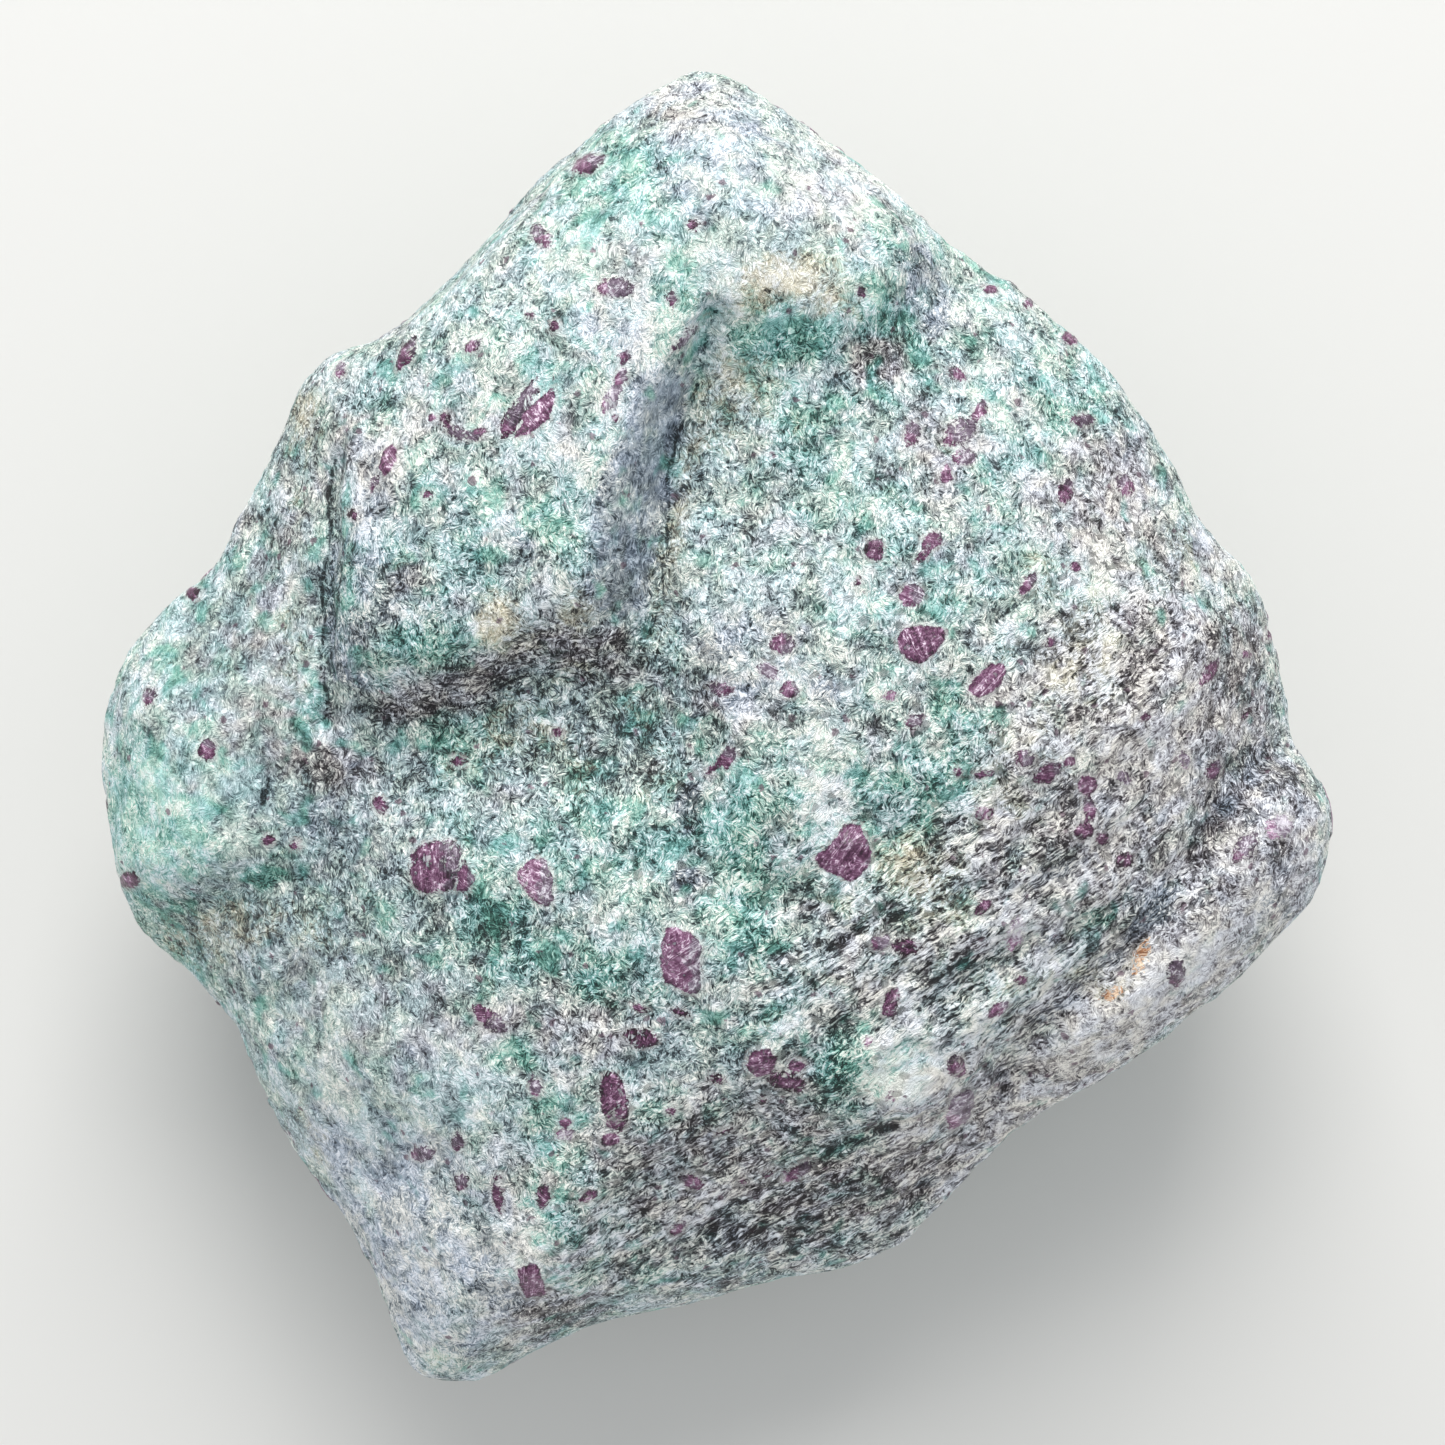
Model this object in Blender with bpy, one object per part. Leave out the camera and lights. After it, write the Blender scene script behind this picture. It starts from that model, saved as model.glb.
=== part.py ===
"""A palm-sized lump of ruby in fuchsite, worn smooth, lying on its flattest side.

The stone is drawn the way a surveyor draws a hill. Its widest outline, and every ridge, ledge and
hollow on it, is a line of points with heights. Flat facets are stretched between the lines, the edges
are worn round, and the larger ruby crystals are then joined on as flat-topped bumps.

Lengths in the drawing are millimetres. X runs to the right, Y away from the viewer and Z up.
"""

import math

import bmesh
import bpy
from mathutils import Matrix, Vector
from mathutils.bvhtree import BVHTree
from mathutils.geometry import delaunay_2d_cdt

MM = 0.001

# The upper side is drawn as an eye above the stone sees it, so what is nearer the eye is drawn larger.
EYE_HEIGHT = 330.0
TRUE_LEVEL = 30.0

STONE_NAME = "ruby_fuchsite_stone"

# How far the edges are worn round, and the size and depth of the lumps and chips left on the faces.
WEAR_VOXEL = 1.1
WEAR_PASSES = 8
LUMP_SIZE = 13.0
LUMP_DEPTH = 1.5
CHIP_SIZE = 4.5
CHIP_DEPTH = 0.6
BODY_TRIANGLES = 9000

# How far a ruby crystal stands out, how deep it is set, its chamfer, and how uneven it is.
CRYSTAL_STANDS = 0.3
CRYSTAL_ROOT = 1.6
CRYSTAL_BEVEL = 0.25
CRYSTAL_LEAN = 5.0
CRYSTAL_UNEVENNESS = 0.16

# A block under the table's level, which cuts the stone's lowest spots flat.
TABLE_BLOCK = 200.0

# The widest outline, clockwise from the far corner.
OUTLINE = (
    (-2.3, 57.2, 43), (0.5, 55.5, 43), (5, 52.1, 43), (10, 48.9, 43), (15, 45, 42), (19, 41.7, 40),
    (23, 38.7, 38), (25.5, 37.5, 38), (30, 33.4, 37), (33.8, 29.8, 36), (37.8, 24.3, 35), (40.5, 19.3, 34),
    (41.7, 15.9, 33), (43.8, 14.7, 32), (45.8, 11.8, 31), (47.3, 7.4, 30), (48.4, 3, 29), (48.4, -1.2, 29),
    (50.4, -3, 29), (52, -6, 29.5), (52.4, -10, 29.5), (51.1, -14.4, 29.5), (47.8, -19.2, 29.5), (42.5, -23.4, 29),
    (37, -27.8, 28.5), (31, -31.5, 27.5), (25.5, -35.2, 26), (21.4, -38.2, 24.5), (19.1, -41.2, 23),
    (15.4, -45.3, 22), (10.8, -47.4, 21), (4.5, -47.9, 20), (-3, -49.6, 20), (-9.5, -51.2, 21),
    (-16.5, -53.9, 22), (-20.5, -56.2, 23), (-24, -56.9, 24), (-27, -55.3, 25), (-28.5, -51, 25),
    (-30.4, -46, 25), (-33.5, -41.2, 24), (-37.6, -35.8, 24), (-40, -31, 24), (-41.6, -26.4, 24),
    (-45, -21.7, 24), (-49.5, -18.2, 25), (-51.8, -14, 26), (-52.8, -9, 26), (-53.8, -3.2, 26),
    (-53, 2.4, 27), (-50.2, 7.2, 28), (-46.5, 11.1, 30), (-43.8, 12.9, 32), (-41.6, 17.3, 33),
    (-38.4, 23.4, 34), (-35.9, 28.6, 35), (-33.8, 31.4, 36), (-28.8, 32, 36), (-25.1, 35, 35),
    (-20.3, 41.5, 34), (-15, 47, 35), (-10.4, 50.7, 38), (-6, 54.1, 42),
)

# The lines on the upper side.
UPPER_LINES = {
    "slab far edge": (
        (-10.5, 49.3, 45), (-14, 46.3, 46), (-17, 42.9, 46.5), (-20.2, 39.2, 46.5), (-22.8, 36.4, 46),
        (-25.5, 34.3, 45), (-29.5, 31.9, 43.5), (-33, 30.4, 42),
    ),
    "slab left edge": (
        (-33, 30.4, 42), (-32.6, 26, 44.5), (-31.8, 21, 46), (-31, 15, 47), (-30.6, 9, 47.5), (-29.5, 4.5, 47.5),
    ),
    "slab near edge": (
        (-29.5, 4.5, 47.5), (-26.5, 4, 48.5), (-22.5, 6.2, 49.5), (-19, 8, 50), (-14.5, 9.3, 51), (-11, 9.8, 51.5),
    ),
    "slab right edge": (
        (-11, 9.8, 51.5), (-10.3, 14, 52.3), (-9.8, 19, 52.8), (-8.6, 23.5, 53.2), (-6.3, 27.5, 53.5),
        (-4.3, 31.5, 53.7), (-2.6, 35, 53.7),
    ),
    "crease left of the slab": (
        (-35.4, 27, 38), (-34.9, 24, 40), (-34.3, 20, 41), (-34, 15, 41.5), (-33.9, 9, 41.5), (-34.2, 3, 41),
        (-35.2, -0.5, 40), (-37.5, -3.8, 38.5), (-38.8, -6.3, 37.8),
    ),
    "hollow under the slab": (
        (-35.2, -0.5, 40), (-31.5, -1, 41), (-28, -0.3, 41.8), (-24.5, 0.8, 42.6), (-19.5, 2.6, 43.4),
        (-14.5, 3.8, 44), (-10.5, 3.8, 44.5), (-7.3, 3.9, 45),
    ),
    "gully right of the slab": (
        (-7.3, 3.9, 45), (-6.2, 10, 46), (-5.4, 15, 46.3), (-4.9, 20, 46.5), (-4, 25, 46.7),
        (-2.8, 29, 47.4), (-1.4, 32, 48.6),
    ),
    "brow of the far block": (
        (-2.6, 35, 53.7), (0.2, 37.2, 53.5), (4, 37.6, 53.2), (8.3, 36.6, 52.6), (11.2, 36, 51.8),
        (14, 38, 50.4), (15.8, 41, 47),
    ),
    "foot of the far block": (
        (-1.4, 32, 48.6), (3, 31.8, 50), (7.5, 31.4, 49.8), (11, 30.4, 48), (14.6, 30.4, 46.4), (15.9, 33.3, 45.2),
        (17.6, 36.6, 43.5), (20, 39.8, 41.2),
    ),
    "lobe near edge": (
        (-50.8, -12.3, 32), (-47, -13.2, 35.4), (-43.3, -12.6, 37), (-40.2, -10.6, 37.6), (-37.2, -9.6, 38),
    ),
    "foot of the lobe": (
        (-50.3, -15.2, 27), (-47, -15.9, 29), (-43, -15.2, 31.2), (-39.5, -13.6, 33.8), (-36, -12.6, 37),
    ),
    "left brow of the right face": (
        (-2.8, 12, 48.6), (-1.2, 6, 49.6), (0.6, 0.5, 50), (2, -5, 50.2), (5.5, -9, 50),
    ),
    "shoulder of the right face": (
        (5.5, -9, 50), (10, -6.5, 50), (15, -4.3, 49.8), (21, -3.2, 49.2), (28, -1.5, 47.9), (34, 0.8, 46),
        (39.5, 4, 43.2), (43.2, 8.2, 38.6),
    ),
    "foot of the right face": (
        (-4.6, 1, 46), (-3.6, -4.5, 46.8), (-1.6, -11.5, 47.4), (5, -14, 47.4), (12, -11, 47.6), (21, -9.5, 46.8),
        (29, -7.5, 45.2), (35.5, -3.5, 42.8), (40.4, -0.4, 40.2),
    ),
    "shoulder of the near face": (
        (-14, -46, 38), (-11.5, -40, 40.5), (-8, -34.5, 42.2), (-2, -31, 43.2), (4, -30, 43.4), (10, -31.5, 42.4),
        (15, -32.8, 40.8), (18.5, -33, 38.5),
    ),
    "groove above the right lobe": (
        (46.9, -2.2, 33.6), (44.8, -5.5, 35.6), (41.6, -8.9, 37), (40, -13, 37.6), (38.2, -16.5, 37.8),
        (34.7, -19.6, 37.5), (30.9, -22.7, 37), (27.2, -26.5, 35.6), (24, -30.2, 33.2), (20.8, -34, 30),
        (19.2, -37.2, 27),
    ),
    "crown of the right lobe": (
        (48.2, -4, 34.8), (46.4, -8.5, 37.8), (43.8, -13.5, 38.6), (40.5, -17.8, 38.6), (36.5, -21.7, 38),
        (32, -25.8, 36.6), (28, -29.3, 34),
    ),
    "brink of the right lobe": (
        (50.2, -6.5, 34), (50.2, -10.8, 34.6), (47.8, -15.2, 34.6), (43.4, -19.8, 34.4), (38.6, -23.6, 34),
        (33, -28, 32.6), (28, -31.5, 31), (23.4, -34.8, 28.6),
    ),
    "near brink": (
        (-23.6, -54, 30), (-19.5, -52.3, 31.5), (-15, -50.2, 31.5), (-9, -48.6, 31), (-2.5, -46.8, 30),
        (4.5, -45.2, 28.5), (10, -43.8, 27.5), (15, -41.5, 27),
    ),
    "left brink": (
        (-26.6, -50.6, 31), (-28.2, -45, 31), (-31.2, -39.6, 30.5), (-35.2, -33.8, 30.2), (-38, -29.3, 30),
        (-40.6, -23.8, 29.5), (-44.6, -19.2, 27.5),
    ),
    "right brink": (
        (24.6, 36.2, 40.2), (29, 31.6, 40.6), (32.6, 27.6, 40.2), (35.8, 22.6, 39.4), (38.2, 17.6, 38.6),
        (41.6, 12.6, 37), (44.2, 8, 35.4), (45.6, 3, 34), (46, -0.4, 32.5),
    ),
}

# Single high and low points of the faces between the lines.
UPPER_POINTS = (
    (-1, 50, 51), (-3.5, 44, 53.4), (5, 46, 51.6), (2, 42, 53.6), (9, 43.5, 51), (-8, 42, 52.4), (13, 43.6, 47.6),
    (-15, 36, 51.3), (-24, 29, 49), (-18, 22, 50.8), (-26, 18, 48.8), (-14, 14, 51.5), (-24, 10, 49.4),
    (-10, 31, 53), (-29, 24, 47),
    (2, 28, 48.4), (8, 27, 48.9), (14, 26, 48.2), (20, 33, 44.6), (26, 31.5, 43.2), (22, 24, 47), (30, 24, 43.8),
    (34, 18, 42), (1, 20, 48.4), (8, 18, 49.6), (15, 15, 50.6), (24, 13, 49),
    (4, 8, 50.2), (12, 5, 51), (20, 3, 50.4), (30, 10, 46.8), (37, 10, 42.6), (33, 4, 45.6),
    (-41, 8, 37), (-44, 1, 37.6), (-46, -5, 37.4), (-45.8, -10, 37.4), (-39, -1, 39), (-49.6, 2, 33.4),
    (-50.2, -6, 33),
    (-30, -6.5, 41.4), (-22, -5, 43.2), (-12, -3, 44.4), (-25, -13, 43.6), (-15, -12, 46.2), (-6, -17, 47.4),
    (-33, -19, 37.8), (-22, -24, 43), (-10, -26, 45.2), (-30, -29, 38.6), (-20, -36, 40.6), (-25, -43, 36),
    (-18, -46, 37.4), (-23, -50.6, 33.6), (3, -20, 47), (-40, -18, 34),
    (13, -18, 46.8), (22, -16, 45.4), (29, -12.5, 43.6), (35, -8, 41), (14, -26, 44.4), (22, -24, 41.6),
    (5, -37, 36.6), (12, -37.5, 34.6), (-4, -40, 36), (-10, -45, 34),
)

# The lower side is drawn to true size. It narrows to the broken face that the stone lies on.
GIRDLE = (
    (-2, 50.5, 31), (6, 47.5, 27), (14, 42, 24), (22, 34.5, 26), (30, 27.5, 22), (36, 18, 20), (41.5, 11, 19),
    (45, 4, 16), (45, -2, 15), (49, -8, 16), (46, -16, 15), (37, -24, 13), (27, -31, 14), (19, -37, 13),
    (11, -43, 11), (-4, -46.5, 11), (-16, -50, 13), (-23, -52, 15), (-28, -43.5, 13), (-35, -34, 12),
    (-39.5, -25, 13), (-47, -17.5, 14), (-51, -6, 14), (-49, 3, 17), (-43, 10, 20), (-38, 18, 21), (-34, 27, 25),
    (-26, 30, 22), (-19, 37.5, 21), (-11, 45.5, 27),
)
BASE_EDGE = (
    (-5, 30, 3.5), (9, 25, 1.2), (20, 15, 0.6), (26, 2, 0.3), (25, -10, 1), (16, -18, 0.5), (6, -21, 0.2),
    (-6, -24, 1.4), (-18, -20, 0.5), (-25, -10, 0.3), (-24, 2, 0.8), (-16, 12, 0.3), (-11, 22, 1.8),
)
LOWER_POINTS = (
    (0, 0, -1.2), (-12, -8, -1.5), (12, 4, -1.5), (9, -10, -1.4), (-10, 6, -1.2), (-2, 12, -0.8),
    (2, 40, 14), (18, 32, 12), (14, 28, 4.5), (30, 14, 7), (37, 6, 8.5), (38, -10, 5.5), (30, -20, 6.5),
    (16, -31, 4.5), (-2, -37, 5), (-18, -38, 6.5), (-26, -31, 4), (-36, -20, 6), (-42, -8, 7.5), (-36, 4, 4),
    (-34, 13, 9), (-26, 22, 8.5), (-16, 31, 10.5),
)


class Crystal:
    """A ruby crystal cut off nearly flush: its place as seen, its length, width, turn and number of sides."""

    def __init__(self, x, y, length, width, turn, sides=6):
        self.x, self.y = x, y
        self.length, self.width = length, width
        self.turn = math.radians(turn)
        self.sides = sides


CRYSTALS = (
    Crystal(-23.8, -12.4, 4.8, 4.4, 20),
    Crystal(-15.8, -13.4, 4.4, 3.1, 110),
    Crystal(-3.5, -20.2, 5.6, 3.5, 95),
    Crystal(10.5, -11, 4.8, 4.4, 60, 5),
    Crystal(17.2, 6.8, 4, 3.2, 15),
    Crystal(22.6, 3.7, 3.8, 2.5, 40),
    Crystal(-16.2, 26.6, 5, 1.9, 42),
    Crystal(-9, -32.3, 5, 2.3, 98),
    Crystal(3.4, -28.8, 3.1, 2.7, 10, 5),
    Crystal(-6.2, -26.6, 3.2, 1.9, 155),
    Crystal(-19.3, -25.2, 3.2, 1.6, 122),
    Crystal(-11.3, 47.4, 3.2, 2, 8),
    Crystal(-9, 37, 3.2, 2.2, 170),
    Crystal(-26.8, 31.2, 3.4, 1.5, 68),
    Crystal(13, 14.6, 2.5, 2.2, 30, 5),
    Crystal(17.8, 15.4, 2.4, 1.8, 20),
    Crystal(20.4, 25.3, 3.4, 2, 35),
    Crystal(5.2, 6.6, 2.4, 2, 0, 5),
    Crystal(-16.4, -47, 2.8, 2.4, 70),
    Crystal(31.1, -9.2, 2.5, 2.2, 10),
    Crystal(14.1, -23.6, 2.8, 1.7, 80),
    Crystal(38.6, -21.2, 2.6, 2.2, 50, 5),
)


def seen_from_the_eye(point):
    """Where a point really is, given where the eye above the stone sees it."""
    x, y, height = point
    nearness = (EYE_HEIGHT - height) / (EYE_HEIGHT - TRUE_LEVEL)
    return Vector((x * nearness, y * nearness, height))


def facets(outline, loops, lines, points):
    """The triangles stretched inside an outline, with every line kept as an edge."""
    corners = list(outline)
    edges = []
    for line, closed in [(loop, True) for loop in loops] + [(line, False) for line in lines]:
        start = len(corners)
        corners.extend(line)
        last = len(corners) - 1
        edges += [(i, i + 1) for i in range(start, last)]
        if closed:
            edges.append((last, start))
    corners.extend(points)
    rim = list(range(len(outline)))
    inside_the_rim = 1
    plan = [corner.to_2d() for corner in corners]
    _, _, triangles, drawn, _, _ = delaunay_2d_cdt(plan, edges, [rim], inside_the_rim, 0.001)
    return corners, [[drawn[i][0] for i in triangle] for triangle in triangles]


def broken_block():
    """The unworn stone: upper and lower facets sewn together round the widest outline."""
    outline = [seen_from_the_eye(point) for point in OUTLINE]
    upper_lines = [[seen_from_the_eye(point) for point in line] for line in UPPER_LINES.values()]
    upper_points = [seen_from_the_eye(point) for point in UPPER_POINTS]
    lower_loops = [[Vector(point) for point in loop] for loop in (GIRDLE, BASE_EDGE)]
    lower_points = [Vector(point) for point in LOWER_POINTS]
    block = bmesh.new()
    for loops, lines, points, upwards in (
        ([], upper_lines, upper_points, True),
        (lower_loops, [], lower_points, False),
    ):
        corners, triangles = facets(outline, loops, lines, points)
        verts = [block.verts.new(corner * MM) for corner in corners]
        for triangle in triangles:
            face = block.faces.new([verts[i] for i in triangle])
            face.normal_update()
            if (face.normal.z > 0) != upwards:
                face.normal_flip()
    bmesh.ops.remove_doubles(block, verts=block.verts, dist=0.01 * MM)
    return block


def new_object(name, shape):
    mesh = bpy.data.meshes.new(name)
    shape.to_mesh(mesh)
    shape.free()
    stone = bpy.data.objects.new(name, mesh)
    bpy.context.scene.collection.objects.link(stone)
    return stone


def with_modifiers_applied(stone):
    """Makes the stone's evaluated shape its own mesh."""
    graph = bpy.context.evaluated_depsgraph_get()
    shape = bpy.data.meshes.new_from_object(stone.evaluated_get(graph))
    stone.modifiers.clear()
    stone.data = shape


def add_relief(stone, name, size, depth):
    """Lumps and chips of one size, pushed in and out along the surface's normals."""
    clouds = bpy.data.textures.new(name, "CLOUDS")
    clouds.noise_scale = size * MM
    clouds.noise_depth = 1
    relief = stone.modifiers.new(name, "DISPLACE")
    relief.texture = clouds
    relief.texture_coords = "LOCAL"
    relief.strength = depth * MM
    relief.mid_level = 0.5


def wear_round(stone):
    """Rounds the broken edges as tumbling does, then brings the triangles down to the body's share."""
    remesh = stone.modifiers.new("even mesh", "REMESH")
    remesh.mode = "VOXEL"
    remesh.voxel_size = WEAR_VOXEL * MM
    wear = stone.modifiers.new("wear", "SMOOTH")
    wear.factor = 0.5
    wear.iterations = WEAR_PASSES
    add_relief(stone, "lumps", LUMP_SIZE, LUMP_DEPTH)
    add_relief(stone, "chips", CHIP_SIZE, CHIP_DEPTH)
    with_modifiers_applied(stone)
    triangles = sum(len(face.vertices) - 2 for face in stone.data.polygons)
    fewer = stone.modifiers.new("fewer triangles", "DECIMATE")
    fewer.ratio = BODY_TRIANGLES / triangles
    even_out = stone.modifiers.new("pinches evened out", "SMOOTH")
    even_out.factor = 0.35
    even_out.iterations = 2
    with_modifiers_applied(stone)


def crystal_shape(crystal, surface):
    """A chamfered prism whose top stands a little out of the surface that it is set in."""
    x, y, _ = seen_from_the_eye((crystal.x, crystal.y, TRUE_LEVEL))
    eye = Vector((0, 0, EYE_HEIGHT)) * MM
    place, normal, _, _ = surface.ray_cast(eye, Vector((x, y, TRUE_LEVEL)) * MM - eye)
    prism = bmesh.new()
    ring = bmesh.ops.create_circle(prism, segments=crystal.sides, radius=0.5 * MM, cap_ends=True)
    raised = bmesh.ops.extrude_face_region(prism, geom=list(prism.faces))
    top = [item for item in raised["geom"] if isinstance(item, bmesh.types.BMVert)]
    for vert in prism.verts:
        bearing = math.atan2(vert.co.y, vert.co.x)
        vert.co *= 1 + CRYSTAL_UNEVENNESS * math.sin(2 * bearing + 5 * crystal.turn)
    bmesh.ops.scale(prism, vec=(crystal.length, crystal.width, 1), verts=prism.verts)
    bmesh.ops.translate(prism, vec=(0, 0, CRYSTAL_STANDS * MM), verts=top)
    bmesh.ops.translate(prism, vec=(0, 0, -CRYSTAL_ROOT * MM), verts=ring["verts"])
    bmesh.ops.recalc_face_normals(prism, faces=prism.faces)
    rim = [edge for edge in prism.edges if edge.verts[0] in top and edge.verts[1] in top]
    bmesh.ops.bevel(prism, geom=rim, offset=CRYSTAL_BEVEL * MM, segments=1, affect="EDGES")
    turn = Matrix.Rotation(crystal.turn, 4, "Z")
    lean = Matrix.Rotation(math.radians(CRYSTAL_LEAN), 4, "X")
    upright = normal.to_track_quat("Z", "Y").to_matrix().to_4x4()
    prism.transform(Matrix.Translation(place) @ upright @ lean @ turn)
    return prism


def add_crystals(stone):
    """Joins the larger ruby crystals to the rock that they grew in."""
    surface = BVHTree.FromObject(stone, bpy.context.evaluated_depsgraph_get())
    for number, crystal in enumerate(CRYSTALS, 1):
        guide = new_object(f"crystal_{number}", crystal_shape(crystal, surface))
        guide.hide_render = True
        guide.display_type = "WIRE"
        join = stone.modifiers.new(guide.name, "BOOLEAN")
        join.operation = "UNION"
        join.solver = "EXACT"
        join.object = guide
    with_modifiers_applied(stone)


def lay_on_table(stone):
    """Cuts the lowest spots to one level, where the stone is worn flat, and centres it over the origin."""
    block = bmesh.new()
    bmesh.ops.create_cube(block, size=TABLE_BLOCK * MM)
    bmesh.ops.translate(block, vec=(0, 0, -TABLE_BLOCK * MM / 2), verts=block.verts)
    table = new_object("table_level", block)
    table.hide_render = True
    table.display_type = "WIRE"
    cut = stone.modifiers.new("worn flat", "BOOLEAN")
    cut.operation = "DIFFERENCE"
    cut.solver = "EXACT"
    cut.object = table
    with_modifiers_applied(stone)
    shape = bmesh.new()
    shape.from_mesh(stone.data)
    bmesh.ops.triangulate(shape, faces=shape.faces)
    xs = [vert.co.x for vert in shape.verts]
    ys = [vert.co.y for vert in shape.verts]
    middle = Vector((min(xs) + max(xs), min(ys) + max(ys), 0)) / 2
    bmesh.ops.translate(shape, vec=-middle, verts=shape.verts)
    shape.to_mesh(stone.data)
    shape.free()


def rock_material():
    """Sea-green mica rock with a waxy shine."""
    material = bpy.data.materials.new("fuchsite_rock")
    material.use_nodes = True
    surface = material.node_tree.nodes["Principled BSDF"]
    surface.inputs["Base Color"].default_value = (0.31, 0.4, 0.37, 1)
    surface.inputs["Roughness"].default_value = 0.5
    surface.inputs["Metallic"].default_value = 0
    return material


def main():
    for old in list(bpy.data.objects):
        bpy.data.objects.remove(old, do_unlink=True)
    stone = new_object(STONE_NAME, broken_block())
    wear_round(stone)
    add_crystals(stone)
    lay_on_table(stone)
    stone.data.materials.clear()
    stone.data.materials.append(rock_material())
    stone.data.shade_smooth()
    stone.data.set_sharp_from_angle(angle=math.radians(35))


main()
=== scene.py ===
"""Looks of a lump of ruby in fuchsite: felted green mica rock with magenta ruby grains.

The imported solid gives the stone's form. A finer copy of it takes its place here. It is cut by furrows,
folded, roughened, and marked with every ruby grain and colour patch. Places on the upper side are given as
an eye straight above the stone sees them, in millimetres, X to the right and Y towards the far corner.
"""

import logging
import math
from dataclasses import dataclass, field
from enum import Enum
from typing import Any

import bpy
import numpy as np
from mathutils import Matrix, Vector, noise
from mathutils.bvhtree import BVHTree

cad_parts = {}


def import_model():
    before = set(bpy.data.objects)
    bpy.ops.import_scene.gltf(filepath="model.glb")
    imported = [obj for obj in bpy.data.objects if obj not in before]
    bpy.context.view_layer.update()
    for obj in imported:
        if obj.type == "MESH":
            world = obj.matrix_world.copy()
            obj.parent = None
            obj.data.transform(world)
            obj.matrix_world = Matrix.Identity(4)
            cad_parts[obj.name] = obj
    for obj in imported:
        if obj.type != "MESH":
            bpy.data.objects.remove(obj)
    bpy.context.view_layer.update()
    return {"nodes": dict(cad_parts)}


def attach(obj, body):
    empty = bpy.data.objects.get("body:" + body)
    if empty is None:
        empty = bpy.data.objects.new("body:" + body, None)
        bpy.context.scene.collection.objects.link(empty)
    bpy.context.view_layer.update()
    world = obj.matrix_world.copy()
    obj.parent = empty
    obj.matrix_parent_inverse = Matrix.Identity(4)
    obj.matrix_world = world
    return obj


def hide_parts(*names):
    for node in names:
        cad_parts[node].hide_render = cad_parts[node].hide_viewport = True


log = logging.getLogger("stone")

MM = 0.001
NODE = "ruby_fuchsite_stone"


class Outline(Enum):
    """Outlines of ruby grains: clockwise corners of a grain that is one long and one wide."""

    TABLET = (
        (-0.46, 0.25), (-0.26, 0.42), (0.3, 0.5), (0.5, 0.25), (0.39, -0.33), (0.28, -0.46), (-0.28, -0.5),
        (-0.46, -0.33), (-0.5, -0.03),
    )
    SPLIT = (
        (-0.5, 0.14), (-0.17, 0.43), (0.29, 0.5), (0.5, 0.18), (0.5, -0.36), (0.41, -0.5), (0.14, -0.45),
        (-0.11, -0.27),
    )
    BRICK = (
        (-0.31, 0.5), (0.25, 0.38), (0.5, 0.2), (0.44, -0.5), (0.17, -0.5), (-0.42, -0.32), (-0.5, -0.05),
        (-0.47, 0.27),
    )
    KITE = (
        (-0.5, -0.11), (-0.16, 0.19), (0.05, 0.5), (0.31, 0.44), (0.5, 0.01), (0.48, -0.21), (0.2, -0.5),
        (0.03, -0.46), (-0.39, -0.26),
    )
    SHIELD = (
        (-0.41, 0.44), (-0.02, 0.5), (0.48, 0.44), (0.5, 0.12), (0.24, -0.27), (-0.02, -0.5), (-0.29, -0.41),
        (-0.48, -0.09), (-0.5, 0.18),
    )
    BEAN = (
        (-0.5, -0.15), (-0.13, 0.27), (0.07, 0.5), (0.44, 0.47), (0.5, 0.27), (0.33, -0.15), (0.07, -0.4),
        (-0.19, -0.5), (-0.47, -0.31),
    )
    DART = ((-0.5, -0.3), (-0.09, 0.37), (0.5, 0.5), (0.42, 0.08), (0.14, -0.5), (-0.32, -0.5))
    WEDGE = ((-0.44, 0.2), (-0.06, 0.5), (0.5, -0.02), (0.06, -0.5), (-0.5, -0.43))
    HEXAGON = ((-0.5, -0.1), (-0.3, 0.4), (0.2, 0.5), (0.5, 0.16), (0.36, -0.4), (-0.2, -0.5))
    SLIVER = ((-0.5, -0.2), (-0.3, 0.28), (0.1, 0.5), (0.5, 0.22), (0.36, -0.2), (-0.05, -0.5))
    BLOCK = ((-0.5, -0.36), (-0.46, 0.4), (-0.1, 0.5), (0.42, 0.44), (0.5, -0.2), (0.38, -0.48), (-0.3, -0.5))
    ROUND = (
        (-0.5, 0.0), (-0.35, 0.38), (0.04, 0.5), (0.38, 0.33), (0.5, -0.04), (0.3, -0.4), (-0.06, -0.5),
        (-0.38, -0.34),
    )


class Hue(Enum):
    """Colours of grains: their depth of magenta, from near black to pale rose, or else the colour of rust."""

    RUST = -1.0
    BLACK = 0.0
    PLUM = 0.35
    RUBY = 0.6
    PINK = 0.9
    ROSE = 1.5


class Tint(Enum):
    """What a patch changes in the rock, as the attribute and channel that carries it."""

    GREEN = ("tints", 0)
    SLATE = ("tints", 1)
    STRAW = ("tints", 2)
    LIGHT = ("tones", 0)
    ASH = ("tones", 1)
    COARSE = ("tones", 2)


@dataclass(frozen=True)
class Grain:
    """A ruby grain: where its middle is seen, its length and width in mm, its turn and its looks."""

    x: float
    y: float
    length: float
    width: float
    turn: float = 0.0
    # How pale the grain is, and how much grey-mauve painted reflection lies on it.
    pallor_and_sheen: float = 0.1
    outline: Outline = Outline.ROUND
    hue: Hue = Hue.PLUM


@dataclass(frozen=True)
class Patch:
    """A soft-edged patch: where its middle is seen, its length and width, strength, lightness and turn."""

    tint: Tint
    x: float
    y: float
    length: float
    width: float
    strength: float = 1.0
    light: float = 0.0
    turn: float = 0.0


@dataclass(frozen=True)
class Zone:
    """A patch with an edge that shows: the width of its edge, its strength, lightness and corners."""

    tint: Tint
    edge: float
    strength: float
    light: float
    corners: tuple[tuple[float, float], ...]


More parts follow.
